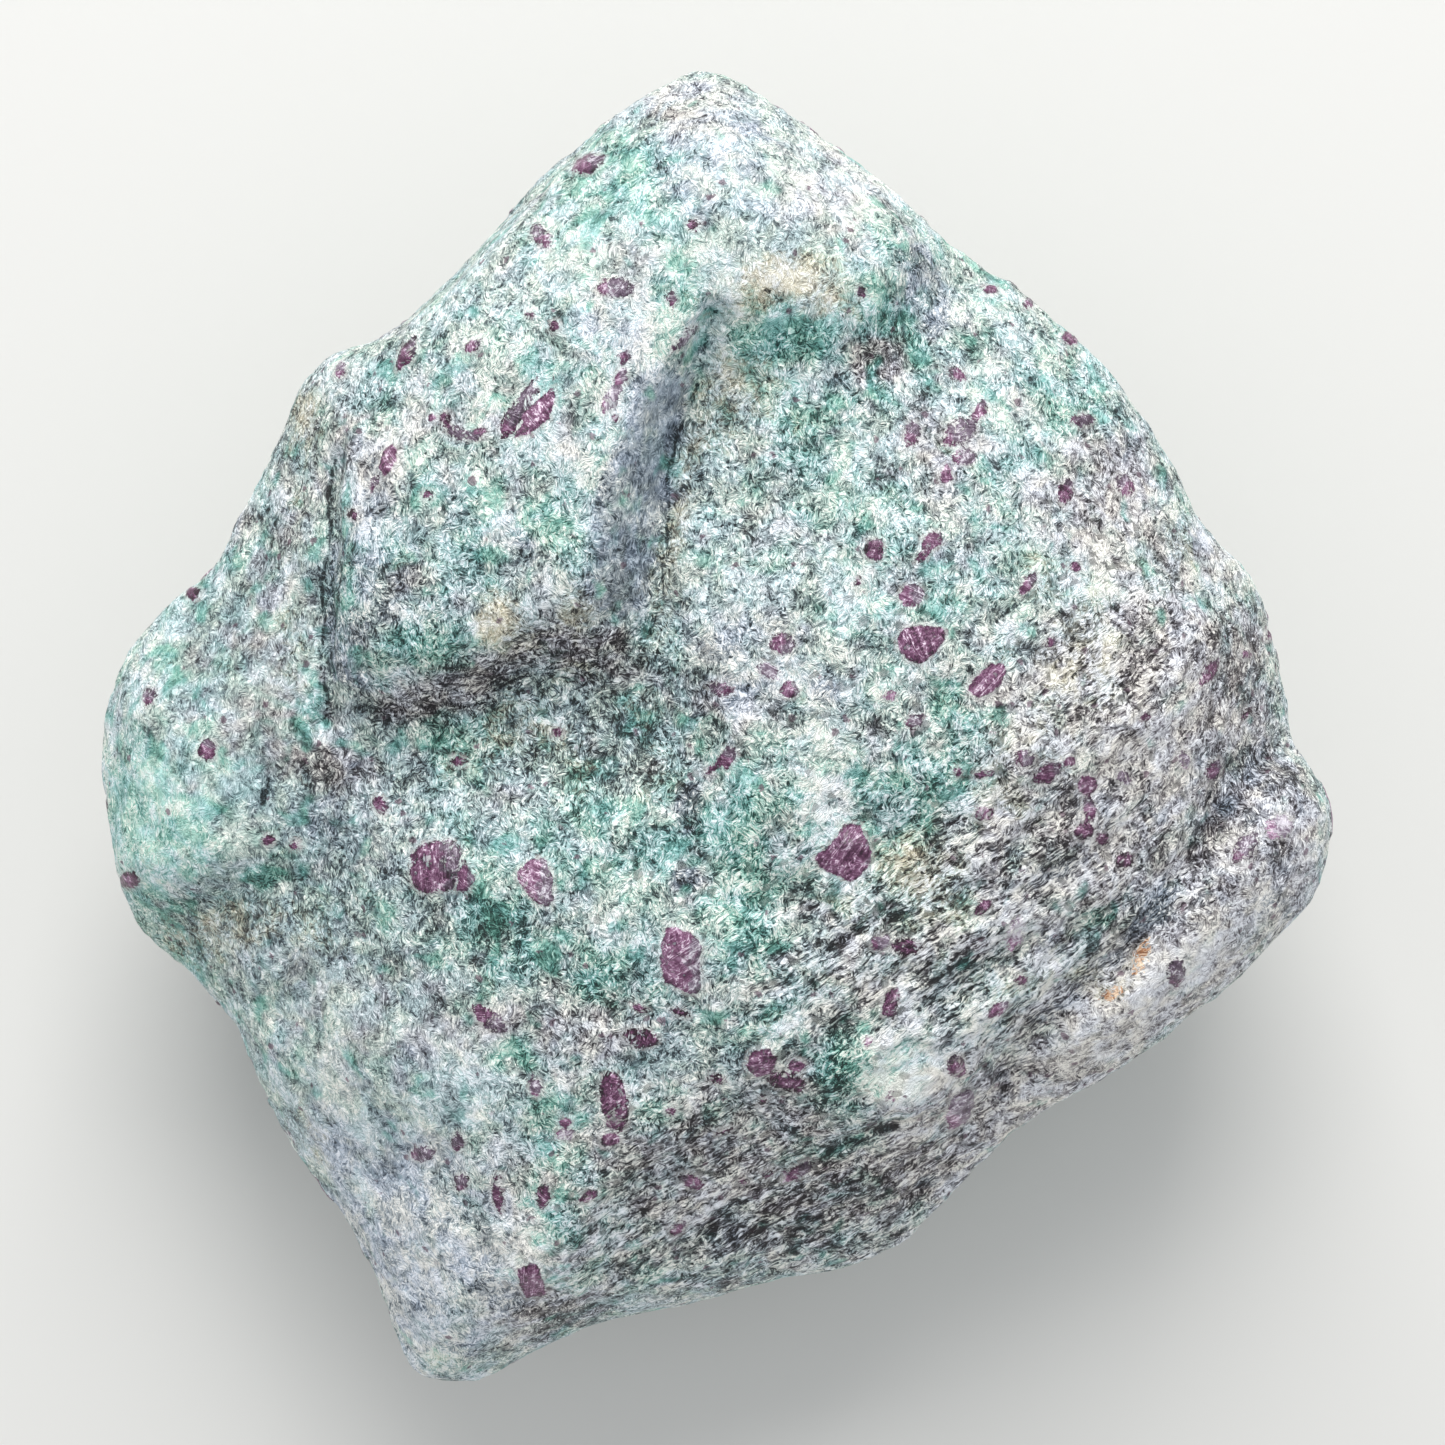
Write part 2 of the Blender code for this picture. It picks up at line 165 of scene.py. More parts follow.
@dataclass(frozen=True)
class Stroke:
    """A line along which the surface sinks, with the width and depth of the furrow, in mm.

    Where it is inked, a dark line of that width is painted along it, for the shade and cracks in the furrow.
    """

    width: float
    depth: float
    ink: float
    line: tuple[tuple[float, float], ...]


@dataclass(frozen=True)
class Easing:
    """A line along which a steep wall is eased, with how wide and how often."""

    width: float
    rounds: int
    line: tuple[tuple[float, float], ...]


def grains(outline: Outline, hue: Hue, *rows: tuple[float, ...]) -> tuple[Grain, ...]:
    """Grains of one outline and hue, each from its place, length and width, then its turn and paleness."""
    return tuple(Grain(*row, outline=outline, hue=hue) for row in rows)


def patches(tint: Tint, *rows: tuple[float, ...]) -> tuple[Patch, ...]:
    """Patches of one tint, each from its place, length and width, then strength, lightness and turn."""
    return tuple(Patch(tint, *row) for row in rows)


# Grains of the upper side. More of the same kinds lie on the sides and the underside, at random.
KINDS = (
    Grain(-24.35, -12.15, 4.5, 4.7, 0, 0.5, Outline.TABLET),
    Grain(-21.8, -13.15, 1.6, 2.7, 0, 0.6, Outline.WEDGE, Hue.RUBY),
    Grain(-16.05, -13.6, 3.3, 4.4, 0, 0.5, Outline.SPLIT, Hue.PINK),
    Grain(-3.5, -20.1, 3.6, 6, 0, 0.4, Outline.BRICK, Hue.PINK),
    Grain(10.2, -11, 5, 5.2, 0, 0.1, Outline.KITE, Hue.PINK),
    Grain(16.9, 6.6, 4.2, 3.4, 0, 0.1, Outline.SHIELD, Hue.RUBY),
    Grain(22.45, 3.55, 3.5, 3.1, 0, 0.1, Outline.BEAN, Hue.PINK),
    Grain(-15.9, 26.2, 5.4, 2.2, 34, 0.1, Outline.DART, Hue.PINK),
    Grain(-17.6, 26, 4.6, 2, 50, 0.8, Outline.SLIVER, Hue.BLACK),
    Grain(-22.3, 24.6, 3.6, 1.1, -20, 1, Outline.SLIVER),
    Grain(-28.4, 22.3, 3.1, 1.6, 62, 0.1, Outline.SLIVER, Hue.PINK),
    Grain(-24.7, 25.9, 0.9, 0.8, 0, 0.1, Outline.ROUND, Hue.PINK),
    Grain(-8.7, 29.4, 2, 1.4, 40, 0.7, Outline.DART, Hue.PINK),
    Grain(-9.5, 27.5, 3.2, 1.6, 52, 0.9, Outline.SLIVER, Hue.PINK),
    Grain(-9.1, 25.9, 1, 0.8, 60),
    Grain(-26.9, 31.3, 3.8, 1.4, 56, 0.5, Outline.SLIVER),
    Grain(-21.2, 32, 2.1, 1.3, 20, 0.5, Outline.SLIVER),
    Grain(-25.1, 19.3, 1.2, 1),
    Grain(-31.4, 17.7, 1.3, 1.1, 0, 0.1, Outline.ROUND, Hue.BLACK),
    Grain(-19.8, -25.2, 3.9, 1.9, -46, 0.7, Outline.SLIVER),
    Grain(-6.9, -26.8, 3.4, 2.1, -22, 0.1, Outline.SLIVER, Hue.BLACK),
    Grain(-3.6, -24.7, 2.2, 0.8, -25, 0.1, Outline.SLIVER, Hue.BLACK),
    Grain(-7.1, -24.3, 1.8, 0.8, -30, 0.1, Outline.SLIVER),
    Grain(-9.2, -32.2, 5.6, 2.6, 98),
    Grain(3.3, -28.9, 2.8, 2.6, 0, 0.1, Outline.HEXAGON, Hue.RUBY),
    Grain(5.5, -30.5, 3.4, 1.6, -18, 0.1, Outline.BLOCK, Hue.BLACK),
    Grain(-0.4, -30.3, 1.8, 0.9, -10, 0.1, Outline.BLOCK, Hue.BLACK),
    Grain(6.3, -29.2, 1.6, 1.2, 0, 0.1, Outline.ROUND, Hue.RUBY),
    Grain(5.1, 6.7, 2.4, 2, 0, 0.6),
    Grain(5.7, 2.8, 1.8, 1.6, 0, 0.4, Outline.ROUND, Hue.RUBY),
    Grain(3.9, 4.4, 2.6, 1.4, 136, 1, Outline.SLIVER, Hue.PINK),
    Grain(16.1, 10.8, 2.4, 2, 20, 0.7, Outline.ROUND, Hue.PINK),
    Grain(26, 11.8, 2.8, 1.2, 50, 0.6, Outline.SLIVER, Hue.RUBY),
    Grain(29.5, -3.3, 1.3, 1, 0, 0.1, Outline.ROUND, Hue.PINK),
    Grain(31, -5.3, 1.9, 1.8, 0, 0.1, Outline.ROUND, Hue.RUBY),
    Grain(31.2, -7.3, 2.4, 1.4, 90, 0.5, Outline.SLIVER),
    Grain(30.7, -9.2, 2, 1.6, 0, 0.1, Outline.HEXAGON),
    Grain(32.3, -9.9, 1.3, 1.2),
    Grain(34.2, -11.7, 1.8, 1.7, 0, 0.1, Outline.ROUND, Hue.BLACK),
    Grain(20, -4.2, 1, 1),
    Grain(22.2, -4.4, 2.2, 0.9, 10, 0.1, Outline.SLIVER),
    Grain(15.6, -19.1, 3, 1.9, -12, 0.1, Outline.SLIVER, Hue.BLACK),
    Grain(14.3, -23.8, 2.7, 1.5, 80, 0.1, Outline.BLOCK),
    Grain(38.6, -21.3, 3, 1.7, 80, 0.8, Outline.SLIVER),
    Grain(25.4, -21.9, 1.3, 1.1),
    Grain(19.9, -29.2, 2.2, 1.8, 100, 0.4),
    Grain(20.2, -32.9, 4.2, 2.4, 52, 0.8, Outline.SLIVER, Hue.PINK),
    Grain(-11.4, 47.5, 3.2, 1.9, 10, 0.6, Outline.SLIVER),
    Grain(-15.4, 41.3, 2.8, 1.7, 110, 0.7, Outline.SLIVER),
    Grain(-9.1, 36.9, 3.7, 2.1, -13, 0.8, Outline.SLIVER),
    Grain(-14.3, 33.7, 1.1, 1),
    Grain(-16.3, 34.6, 0.9, 0.8),
    Grain(-4.3, 36, 2.1, 1, 90, 0.7, Outline.SLIVER),
    Grain(-3.2, 32.6, 3.6, 0.9, 42, 1, Outline.SLIVER),
    Grain(-32.5, 30, 1.6, 1, 80, 0.8, Outline.ROUND, Hue.PINK),
    Grain(-45, 11, 1.4, 1.2),
    Grain(-48.7, 2.2, 1.8, 1.4, 60, 0.8),
    Grain(-43.8, -2.2, 1.8, 1.5, 70, 0.5, Outline.BLOCK),
    Grain(-50.4, -13.4, 1.9, 1.6),
    Grain(-38.6, -10, 1.2, 1),
)

# All grains of the upper side: those kinds, then the rest by outline and hue.
GRAINS = (
    *KINDS,
    *grains(
        Outline.SLIVER, Hue.PLUM,
        (-22.5, -3.3, 1.8, 1, -20), (-19.1, -40.4, 3.2, 1.1, 95, 0.3), (-15.2, -40.3, 2.6, 1.5, 74, 0.3),
        (6.4, -38.2, 3.6, 1.4, 26, 0.7), (-2.6, -39, 2.4, 1.6, 142, 0.4), (-3.8, -43, 2.2, 1.1, 30, 0.4),
        (17, 14.2, 1.9, 1, 40), (11.5, 12, 1.4, 0.8, 60), (-0.2, 2.9, 2.4, 1.4, 152, 0.7),
        (20.2, 24.7, 3.6, 2.4, 25, 0.9), (20, 29.6, 2.2, 1.3, 134, 0.5), (16.1, 24.5, 2.5, 1.7, 63, 0.7),
        (11.8, 36.5, 1.4, 0.8, 100, 0.8), (30.6, 25.7, 2.3, 1.3, -8, 0.9), (29.2, 19.6, 2.7, 1.5, 66, 0.5),
        (41.7, -4.1, 2.2, 1.4, 52, 0.4), (34.2, -4.8, 2, 1.4, 122, 0.9), (27.6, -4.3, 2.8, 1.9, 20, 0.4),
        (41.4, 4.3, 3.2, 1.4, 48, 0.4), (22.1, -15.7, 2, 1.4, 22), (44.4, -10.6, 3.4, 2, 42, 0.9),
        (-11.4, -40.3, 2, 1.1, 15), (-15.6, -48.4, 1.6, 1, -20), (-29.6, 20.4, 1.9, 0.9, 60, 0.9),
    ),
    *grains(
        Outline.ROUND, Hue.PLUM,
        (-36.3, -10.4, 1.1, 0.9), (-29.1, -7, 2, 1.3, 110), (-14, -0.8, 1.2, 1), (-1, -4, 1.2, 0.9, 30),
        (-4.4, -33, 1.1, 0.9), (-22.5, -35.7, 1.8, 1.2, 80, 0.9), (-25.5, -36.7, 2.2, 1.5, 10, 0.9),
        (-19, -38.6, 0.9, 0.8), (-22.2, -39.1, 1.6, 1.2, 82, 0.9), (26, 35.7, 1.2, 1, 60, 0.7),
        (34.2, 20.2, 2.4, 1.6, 119, 0.6), (46.7, 7.4, 1.3, 1, 0, 0.6), (44.5, 5.8, 1.1, 0.9),
        (36, 0.5, 1.1, 0.9), (25.7, -3, 1.9, 1.6, 0, 0.7), (27.9, 6.8, 1.2, 0.9, 0, 0.5),
        (16.3, 0.1, 1.6, 1.4, 0, 0.9),
    ),
    *grains(
        Outline.BLOCK, Hue.PLUM,
        (0.4, -3, 2, 1.4, 60, 0.6), (12.9, 14.7, 2, 1.6, 80, 0.2), (20.6, 22.6, 2, 1.6, 0, 0.9),
        (22.3, -7.7, 1.7, 1.3), (-16.5, 28, 2, 1.2, 40, 1), (-20.6, 24.7, 1.3, 1), (-23.6, 26, 1.1, 0.8),
    ),
    *grains(
        Outline.BLOCK, Hue.RUBY,
        (-9.5, -35.4, 1.8, 1.2, 10), (-16.3, -47.4, 3, 2.1, 110, 0.2), (-8.3, 31.1, 1.3, 1, 20, 0.5),
    ),
    *grains(
        Outline.SLIVER, Hue.PINK,
        (-15.9, -31, 2, 1.4, 80, 0.9), (19, 21, 2, 1.3, 75), (39.3, -3.2, 1.8, 1.2, 90, 0.9),
    ),
    *grains(
        Outline.SLIVER, Hue.BLACK,
        (0.2, -34.7, 2, 0.7, 10), (44.5, 0.7, 1.6, 0.9, 40), (3.4, -32.2, 1.4, 1, 30),
    ),
    *grains(
        Outline.ROUND, Hue.BLACK,
        (1.8, -39, 1.1, 0.9), (3.8, -38.4, 1.3, 0.9, 20), (-2.5, 42.3, 1.3, 1.2),
    ),
    *grains(Outline.ROUND, Hue.PINK, (-13.3, -34, 1.2, 1), (22.8, 36.8, 1.4, 0.9)),
    *grains(Outline.SLIVER, Hue.RUBY, (21.9, 26.5, 2.4, 1.4, 56, 0.5), (23.4, -24.4, 2.6, 1.3, 25, 0.4)),
    *grains(Outline.ROUND, Hue.RUBY, (29.6, 32.7, 1.7, 1.5), (30, 13.2, 1.2, 1)),
    *grains(Outline.BLOCK, Hue.ROSE, (14.2, 2.3, 1.3, 0.8), (12.4, -27.1, 1, 0.8, 60)),
    *grains(Outline.SLIVER, Hue.ROSE, (24.9, -18, 3.4, 1.7, 62, 0.8), (14.3, -31.8, 1.2, 0.7, 70)),
    *grains(Outline.BLOCK, Hue.PINK, (13.5, -18.7, 1.6, 1.3, 0, 1), (-13.4, -35, 1.6, 1, 0, 1)),
    *grains(Outline.SLIVER, Hue.RUST, (33, -23.1, 2, 1.2, 10), (35.5, -19.8, 3.2, 1.1, 62)),
    Grain(17.8, 15.4, 2.2, 1.6, 30, 0.3, Outline.HEXAGON, Hue.RUBY),
    Grain(47.4, -8.8, 2.6, 2, 30, 0.9, Outline.ROUND, Hue.ROSE),
)

# Soft patches by tint. The strength of one that only makes the rock lighter or darker is its lightness.
PATCHES = (
    *patches(
        Tint.GREEN,
        (-18, -18.5, 8, 5, 0.5, -0.26, -30), (-9.8, -22, 6, 3, 0.8, -0.12),
        (-10, -10.5, 14, 7, 0.3, 0, 10), (-23, -1, 7, 4, 0.6, 0.05), (-25.5, 6.5, 7, 5, 0.7, -0.02),
        (1.5, -9.5, 8, 9, 1, -0.07), (2.5, -19, 4, 8, 0.6), (17.5, -5.5, 8, 4.5, 0.9, -0.08, 15),
        (19.5, 0, 5, 5, 0.9), (16, -13, 7, 6, 0.5, 0.04), (10, -29, 4, 8, 0.8, -0.16), (6, 24, 12, 8, 0.4),
        (14.5, 36, 6, 11, 0.8), (29.5, 28, 4, 7, 0.6), (-7, 46.5, 6, 6, 1), (-4.5, 38, 5, 8, 0.7),
        (-16, 32, 5, 4, 0.6), (-25, 16.5, 8, 6, 0.4), (-14.5, 17.5, 4, 5, 0.4), (-49, -9, 8, 10, 1, 0.12),
        (-43, -15.5, 12, 4, 0.1, -0.13, 10), (-15, -39, 5, 14, 0.8), (-5, -33, 4, 4, 0.6, 0.05),
        (8, -37, 9, 4, 0.4, -0.08), (32.5, -16, 5, 3.5, 0.8, -0.06, 35), (20.5, -20, 5, 3, 0.6, -0.03, 35),
        (-51.5, -10, 6, 9, 1), (-32, 10.5, 4, 7, 0.6), (-36, 0.5, 6, 4, 0.5), (-4.5, 33.5, 4, 7, 0.8),
        (-18.5, 26.5, 10, 6, 0.4), (12, 14.5, 5, 4, 0.4), (31, 10.5, 6, 5, 0.4),
        (35, 4, 16, 38, 0.14, -0.035), (-31, -26, 30, 26, -0.1), (2, 44, 26, 16, -0.08),
        (-19.5, 15, 4, 4, 0.5), (-10.5, 13.5, 5, 6, 0.4), (-30, 25.5, 5, 5, 0.4), (15, 9.5, 5, 4, 0.4),
        (40, 2, 6, 7, 0.3), (14.5, -15, 5, 4, 0.3), (23, 20.5, 4, 5, 0.3), (-30, -0.5, 6, 5, -0.3),
        (-29, -11, 7, 7, -0.3), (-37, -20.5, 8, 5, -0.35), (20.5, -23.5, 6, 7, -0.4), (0, 20, 5, 5, -0.3),
        (20, 19, 4, 5, -0.3), (40, 15, 6, 6, -0.3), (-30, -35, 6, 5, -0.3), (0, -45, 6, 5, -0.4),
        (-30.5, 14.5, 4, 5, 0.3), (-46, -20.5, 5, 4, 0.5), (15, -10.5, 5, 4, 0.4),
        (-15.5, 35.5, 5, 5, -0.35), (4, 40, 7, 5, -0.35), (-25, 4, 6, 4, -0.35), (-46, -5, 6, 5, -0.35),
        (-14.5, 25, 6, 5, 0.1, 0.1), (0.5, 25.5, 4, 4, 0.3),
    ),
    *patches(
        Tint.LIGHT,
        (-13, -3, 15, 7, -0.14, 0, 8), (-10.5, 40.5, 7, 7, 0.12), (-8, 33, 12, 9, 0.07),
        (3, 34, 13, 8, 0.15), (6, 48, 8, 5, 0.06, 0, -30), (24, 27, 8, 18, 0.1, 0, 10),
        (31, 13, 12, 7, 0.13), (25.5, 5, 5, 5, 0.09), (11, 11, 8, 5, 0.08), (0, 11, 5, 4, 0.06),
        (8.5, -4.5, 6, 8, 0.22), (12, -11, 7, 6, 0.14), (25.6, -18, 5, 4, 0.22),
        (25, -29, 6, 6, 0.14, 0, 30), (20, -25, 6, 5, -0.1), (26, -24, 5, 5, 0.08),
        (37, -22.5, 12, 5, 0.26, 0, 35), (31.3, -13.1, 5, 2.4, 0.16, 0, 30), (-37, -25, 8, 5, 0.07),
        (-19, -44, 12, 5, 0.1, 0, -10), (-24, -36, 10, 6, 0.05), (-14.5, 28, 6, 9, 0.07),
        (-19.2, 17.3, 3, 2.5, 0.28), (-30.5, 6, 5, 14, -0.09), (-21.5, 11, 8, 3.5, -0.18),
        (-8.5, 14.5, 7, 10, -0.08), (-4.5, 3.5, 6, 7, -0.1), (-37, -15, 14, 6, -0.06, 0, 10),
        (-26, -19, 7, 9, -0.14), (9, -39.5, 16, 8, -0.12), (-9, -35.5, 5, 4, -0.12),
        (-40, -19.5, 6, 4, -0.1), (41.5, -10, 5, 4, -0.1), (14.5, -18.5, 5, 6, -0.14),
        (-43, 6, 9, 12, -0.06, 0, 20), (3, -45, 12, 5, -0.16), (-14, -50.5, 8, 4, -0.3),
        (44, 6.5, 5, 5, -0.16), (29, -7, 7, 5, -0.08), (-16, 25.5, 6, 6, 0.08), (40.5, -4.5, 5, 5, 0.08),
        (46, 5, 5, 6, -0.08), (-26, 16, 5, 5, 0.07), (-41, 14.5, 6, 5, -0.07), (-45.5, -20, 5, 4, 0.08),
        (-4.5, -20, 4, 8, 0.07), (-5, -30, 5, 5, 0.08), (5.5, -25, 6, 5, 0.08), (0, 45.5, 5, 5, 0.07),
        (-6, 45, 5, 5, -0.08), (33, 25.5, 8, 5, -0.07, 0, -60), (-25.5, -45.5, 5, 5, 0.08),
        (15.5, 15.5, 6, 4, -0.14), (-35, -14.5, 6, 4, -0.08), (11, -15.5, 7, 5, -0.1),
        (24.5, -14.5, 6, 5, -0.1), (5.5, -20, 5, 5, -0.1), (-10, -5, 6, 5, -0.1), (-15, 0.5, 7, 5, -0.1),
        (-46, 0.5, 6, 6, -0.1), (13, 30.5, 8, 6, -0.1), (5, 41, 6, 5, -0.1), (28.5, -10.5, 6, 5, -0.08),
        (-36, 9.5, 5, 5, 0.1), (41, -10.5, 6, 5, 0.12), (40, -19.5, 6, 5, 0.1), (30, 13, 8, 6, 0.1),
        # The last patch on the next line darkens the foot of the slab's step as painted shade.
        (-16, -45.5, 7, 4, 0.1), (-26, -50, 6, 5, 0.08), (-20, 3, 22, 5, -0.055, 0, 12),
        (-44, -6, 14, 16, 0.03), (-9, 28, 20, 9, 0.045), (-13, -22, 16, 9, -0.035),
        (12, -18.5, 26, 8, -0.045), (16.5, 16.5, 9, 9, -0.05), (1, -33, 14, 7, -0.04),
        (-17, -34.5, 10, 8, 0.04), (40, -14.5, 4, 4, -0.12), (-25.5, -14.5, 5, 4, -0.07),
        (24.5, -10, 5, 4, 0.08), (-10.5, -15, 5, 4, 0.08), (-40, -14.5, 5, 4, 0.08),
        (-5, -35.5, 4, 4, -0.08), (-14.5, 9.5, 5, 4, 0.08), (9.5, 19.5, 5, 4, 0.08),
        (-5, 19.5, 4, 4, 0.08), (5, 5, 5, 4, 0.07), (5, 25, 4, 4, -0.08), (-20, 29.5, 4, 4, -0.08),
        (40.5, 14, 5, 6, 0.1), (-46, -15.5, 4, 4, -0.1), (-46.5, 5.5, 4, 4, 0.1), (-2, -19, 7, 3, 0.08),
        (0, -5.5, 5, 4, 0.08), (-10, 0, 5, 3, 0.08), (12.5, 25.5, 9, 4, 0.08),
        (12, 12.5, 4, 8, 0.1, 0, -45), (17.5, -29, 8, 6, 0.12), (-15, -45, 5, 3, 0.08),
        (20, -7, 5, 7, -0.08), (5, -40, 5, 4, -0.08), (-40.5, -20.5, 4, 4, -0.08), (-30, -8, 5, 8, -0.06),
    ),
    *patches(
        Tint.SLATE,
        (2, 49, 8, 8, 0.5), (-26, -46, 13, 17, 1, 0.12, 20), (-33, -36, 6, 12, 0.35, 0.13, 25),
        (5, 5, 5, 5, 0.6, 0.05), (8.9, 2.8, 3, 2.5, 0.9, -0.12), (28, -12.5, 5, 3, 0.7, -0.04, 35),
        (-5, 31.5, 4, 10, 1, 0.06, -15), (-9.5, 19.5, 3, 6, 0.9), (-31, 8.5, 4, 10, 0.8, -0.05),
        (0.5, 5, 4, 5, 0.8), (12.5, 25, 7, 5, 0.6), (-5, 48, 6, 7, 0.5), (-20, 15.5, 14, 4, 0.5),
        (45, -5.5, 7, 7, 0.4, -0.2), (35.5, -16, 6, 4, 0.7, -0.08, 20), (-35, -7.5, 9, 7, 0.5, -0.1),
        (-30, 21, 4, 6, 0.5), (-5.5, 33, 5, 9, 0.9), (-4, 45, 8, 5, 0.4), (-28.5, 12, 6, 8, 0.5),
        (15, 41, 5, 5, 0.5), (46, -15, 5, 5, 0.5), (-5, -25, 5, 5, 0.5, -0.05),
    ),
    *patches(
        Tint.ASH,
        (-33.5, -3.8, 8, 4, 0.9, -0.14, -15), (-27.2, 12.1, 3.6, 2.4, 1, -0.22, 30),
        (33, -10, 30, 24, 0.9), (38, 6, 16, 16, 0.8), (12, -22, 16, 8, 0.5, -0.05, 10),
        (23, -33, 18, 9, 1, 0, 35), (0, -40, 36, 12, 0.7, -0.05), (-3, 51.5, 7, 6, 0.9),
        (9.5, 45, 7, 7, 0.8, 0.03), (-9, 38, 5, 4, 0.6), (-21, 25.5, 12, 6, 0.6), (-30, 21, 5, 6, 0.8),
        (-12, 24, 5, 6, 0.2, 0.04), (3, 16.5, 5, 8, 0.45, 0.03), (18, 23.5, 7, 6, 0.8), (32, 20, 9, 8, 1),
        (1, 3, 7, 8, 0.7), (-38, 3, 10, 10, 0.5, -0.02), (-30, -24, 9, 7, 0.5), (-20, -26, 7, 5, 0.6),
        (-11, -25.5, 7, 4.5, 0.8, -0.22), (46, -10.5, 6, 6, 0.9, -0.1), (37, -22.5, 10, 5, 0.8, 0, 35),
        (4, -32.5, 10, 6, 0.6, -0.04), (-17, -50, 9, 6, 0.8, 0.04), (-36, 20, 5, 20, 0.4, -0.06, -20),
    ),
    *patches(
        Tint.STRAW,
        (-19.3, 8.6, 3.6, 3.6, 1.4, 0.24), (-3.9, 16, 16, 2, 0.9, 0.05, 79),
        (4.5, 37.5, 9, 4, 1, 0.14, 10), (9.5, 35.5, 5, 4, 0.6), (0.5, 29, 3, 7, 0.5, 0.04),
        (-35.5, 26.5, 2.5, 5, 0.8), (-12.5, 9.5, 3, 2.5, 0.7, 0.05), (-14, 2, 16, 12, 0.35, 0, 15),
        (-36.2, 10, 4, 24, 0.4, -0.03), (13, -20, 15, 10, 0.4), (30.5, 9, 10, 9, 0.6), (30, 0, 8, 6, 0.4),
        (17, -13, 7, 7, 0.6), (-43, -17, 12, 5, 0.5), (33, -23.1, 2.2, 1.2, 1, -0.1, 10),
        (35.5, -19.6, 2.8, 1.5, 1, 0, 50), (-38, -18, 14, 8, 0.3), (2, 28, 6, 10, 0.4),
        (-13.5, 11, 8, 5, 0.5), (-17, -1.5, 14, 6, 0.35, 0, 8), (-6, -4.5, 6, 5, 0.5),
        (13, -12.5, 12, 6, 0.35), (24, -5, 9, 12, 0.45), (29, 5, 6, 5, 0.4), (-45, -20, 6, 5, 0.2),
        (-36, -35, 6, 6, 0.5), (1, 25, 9, 6, 0.4), (40, 15, 6, 6, 0.4), (30, -22, 9, 8, 0.4),
    ),
    *patches(
        Tint.COARSE,
        (2, 42, 26, 16, -0.5), (22, -20, 34, 26, 1, 0, 20), (34, 6, 14, 12, 0.7), (-2, -42, 36, 12, 0.8),
        (-30, -32, 22, 30, -0.6, 0, 25), (-43, 0, 16, 26, -0.9),
    ),
)

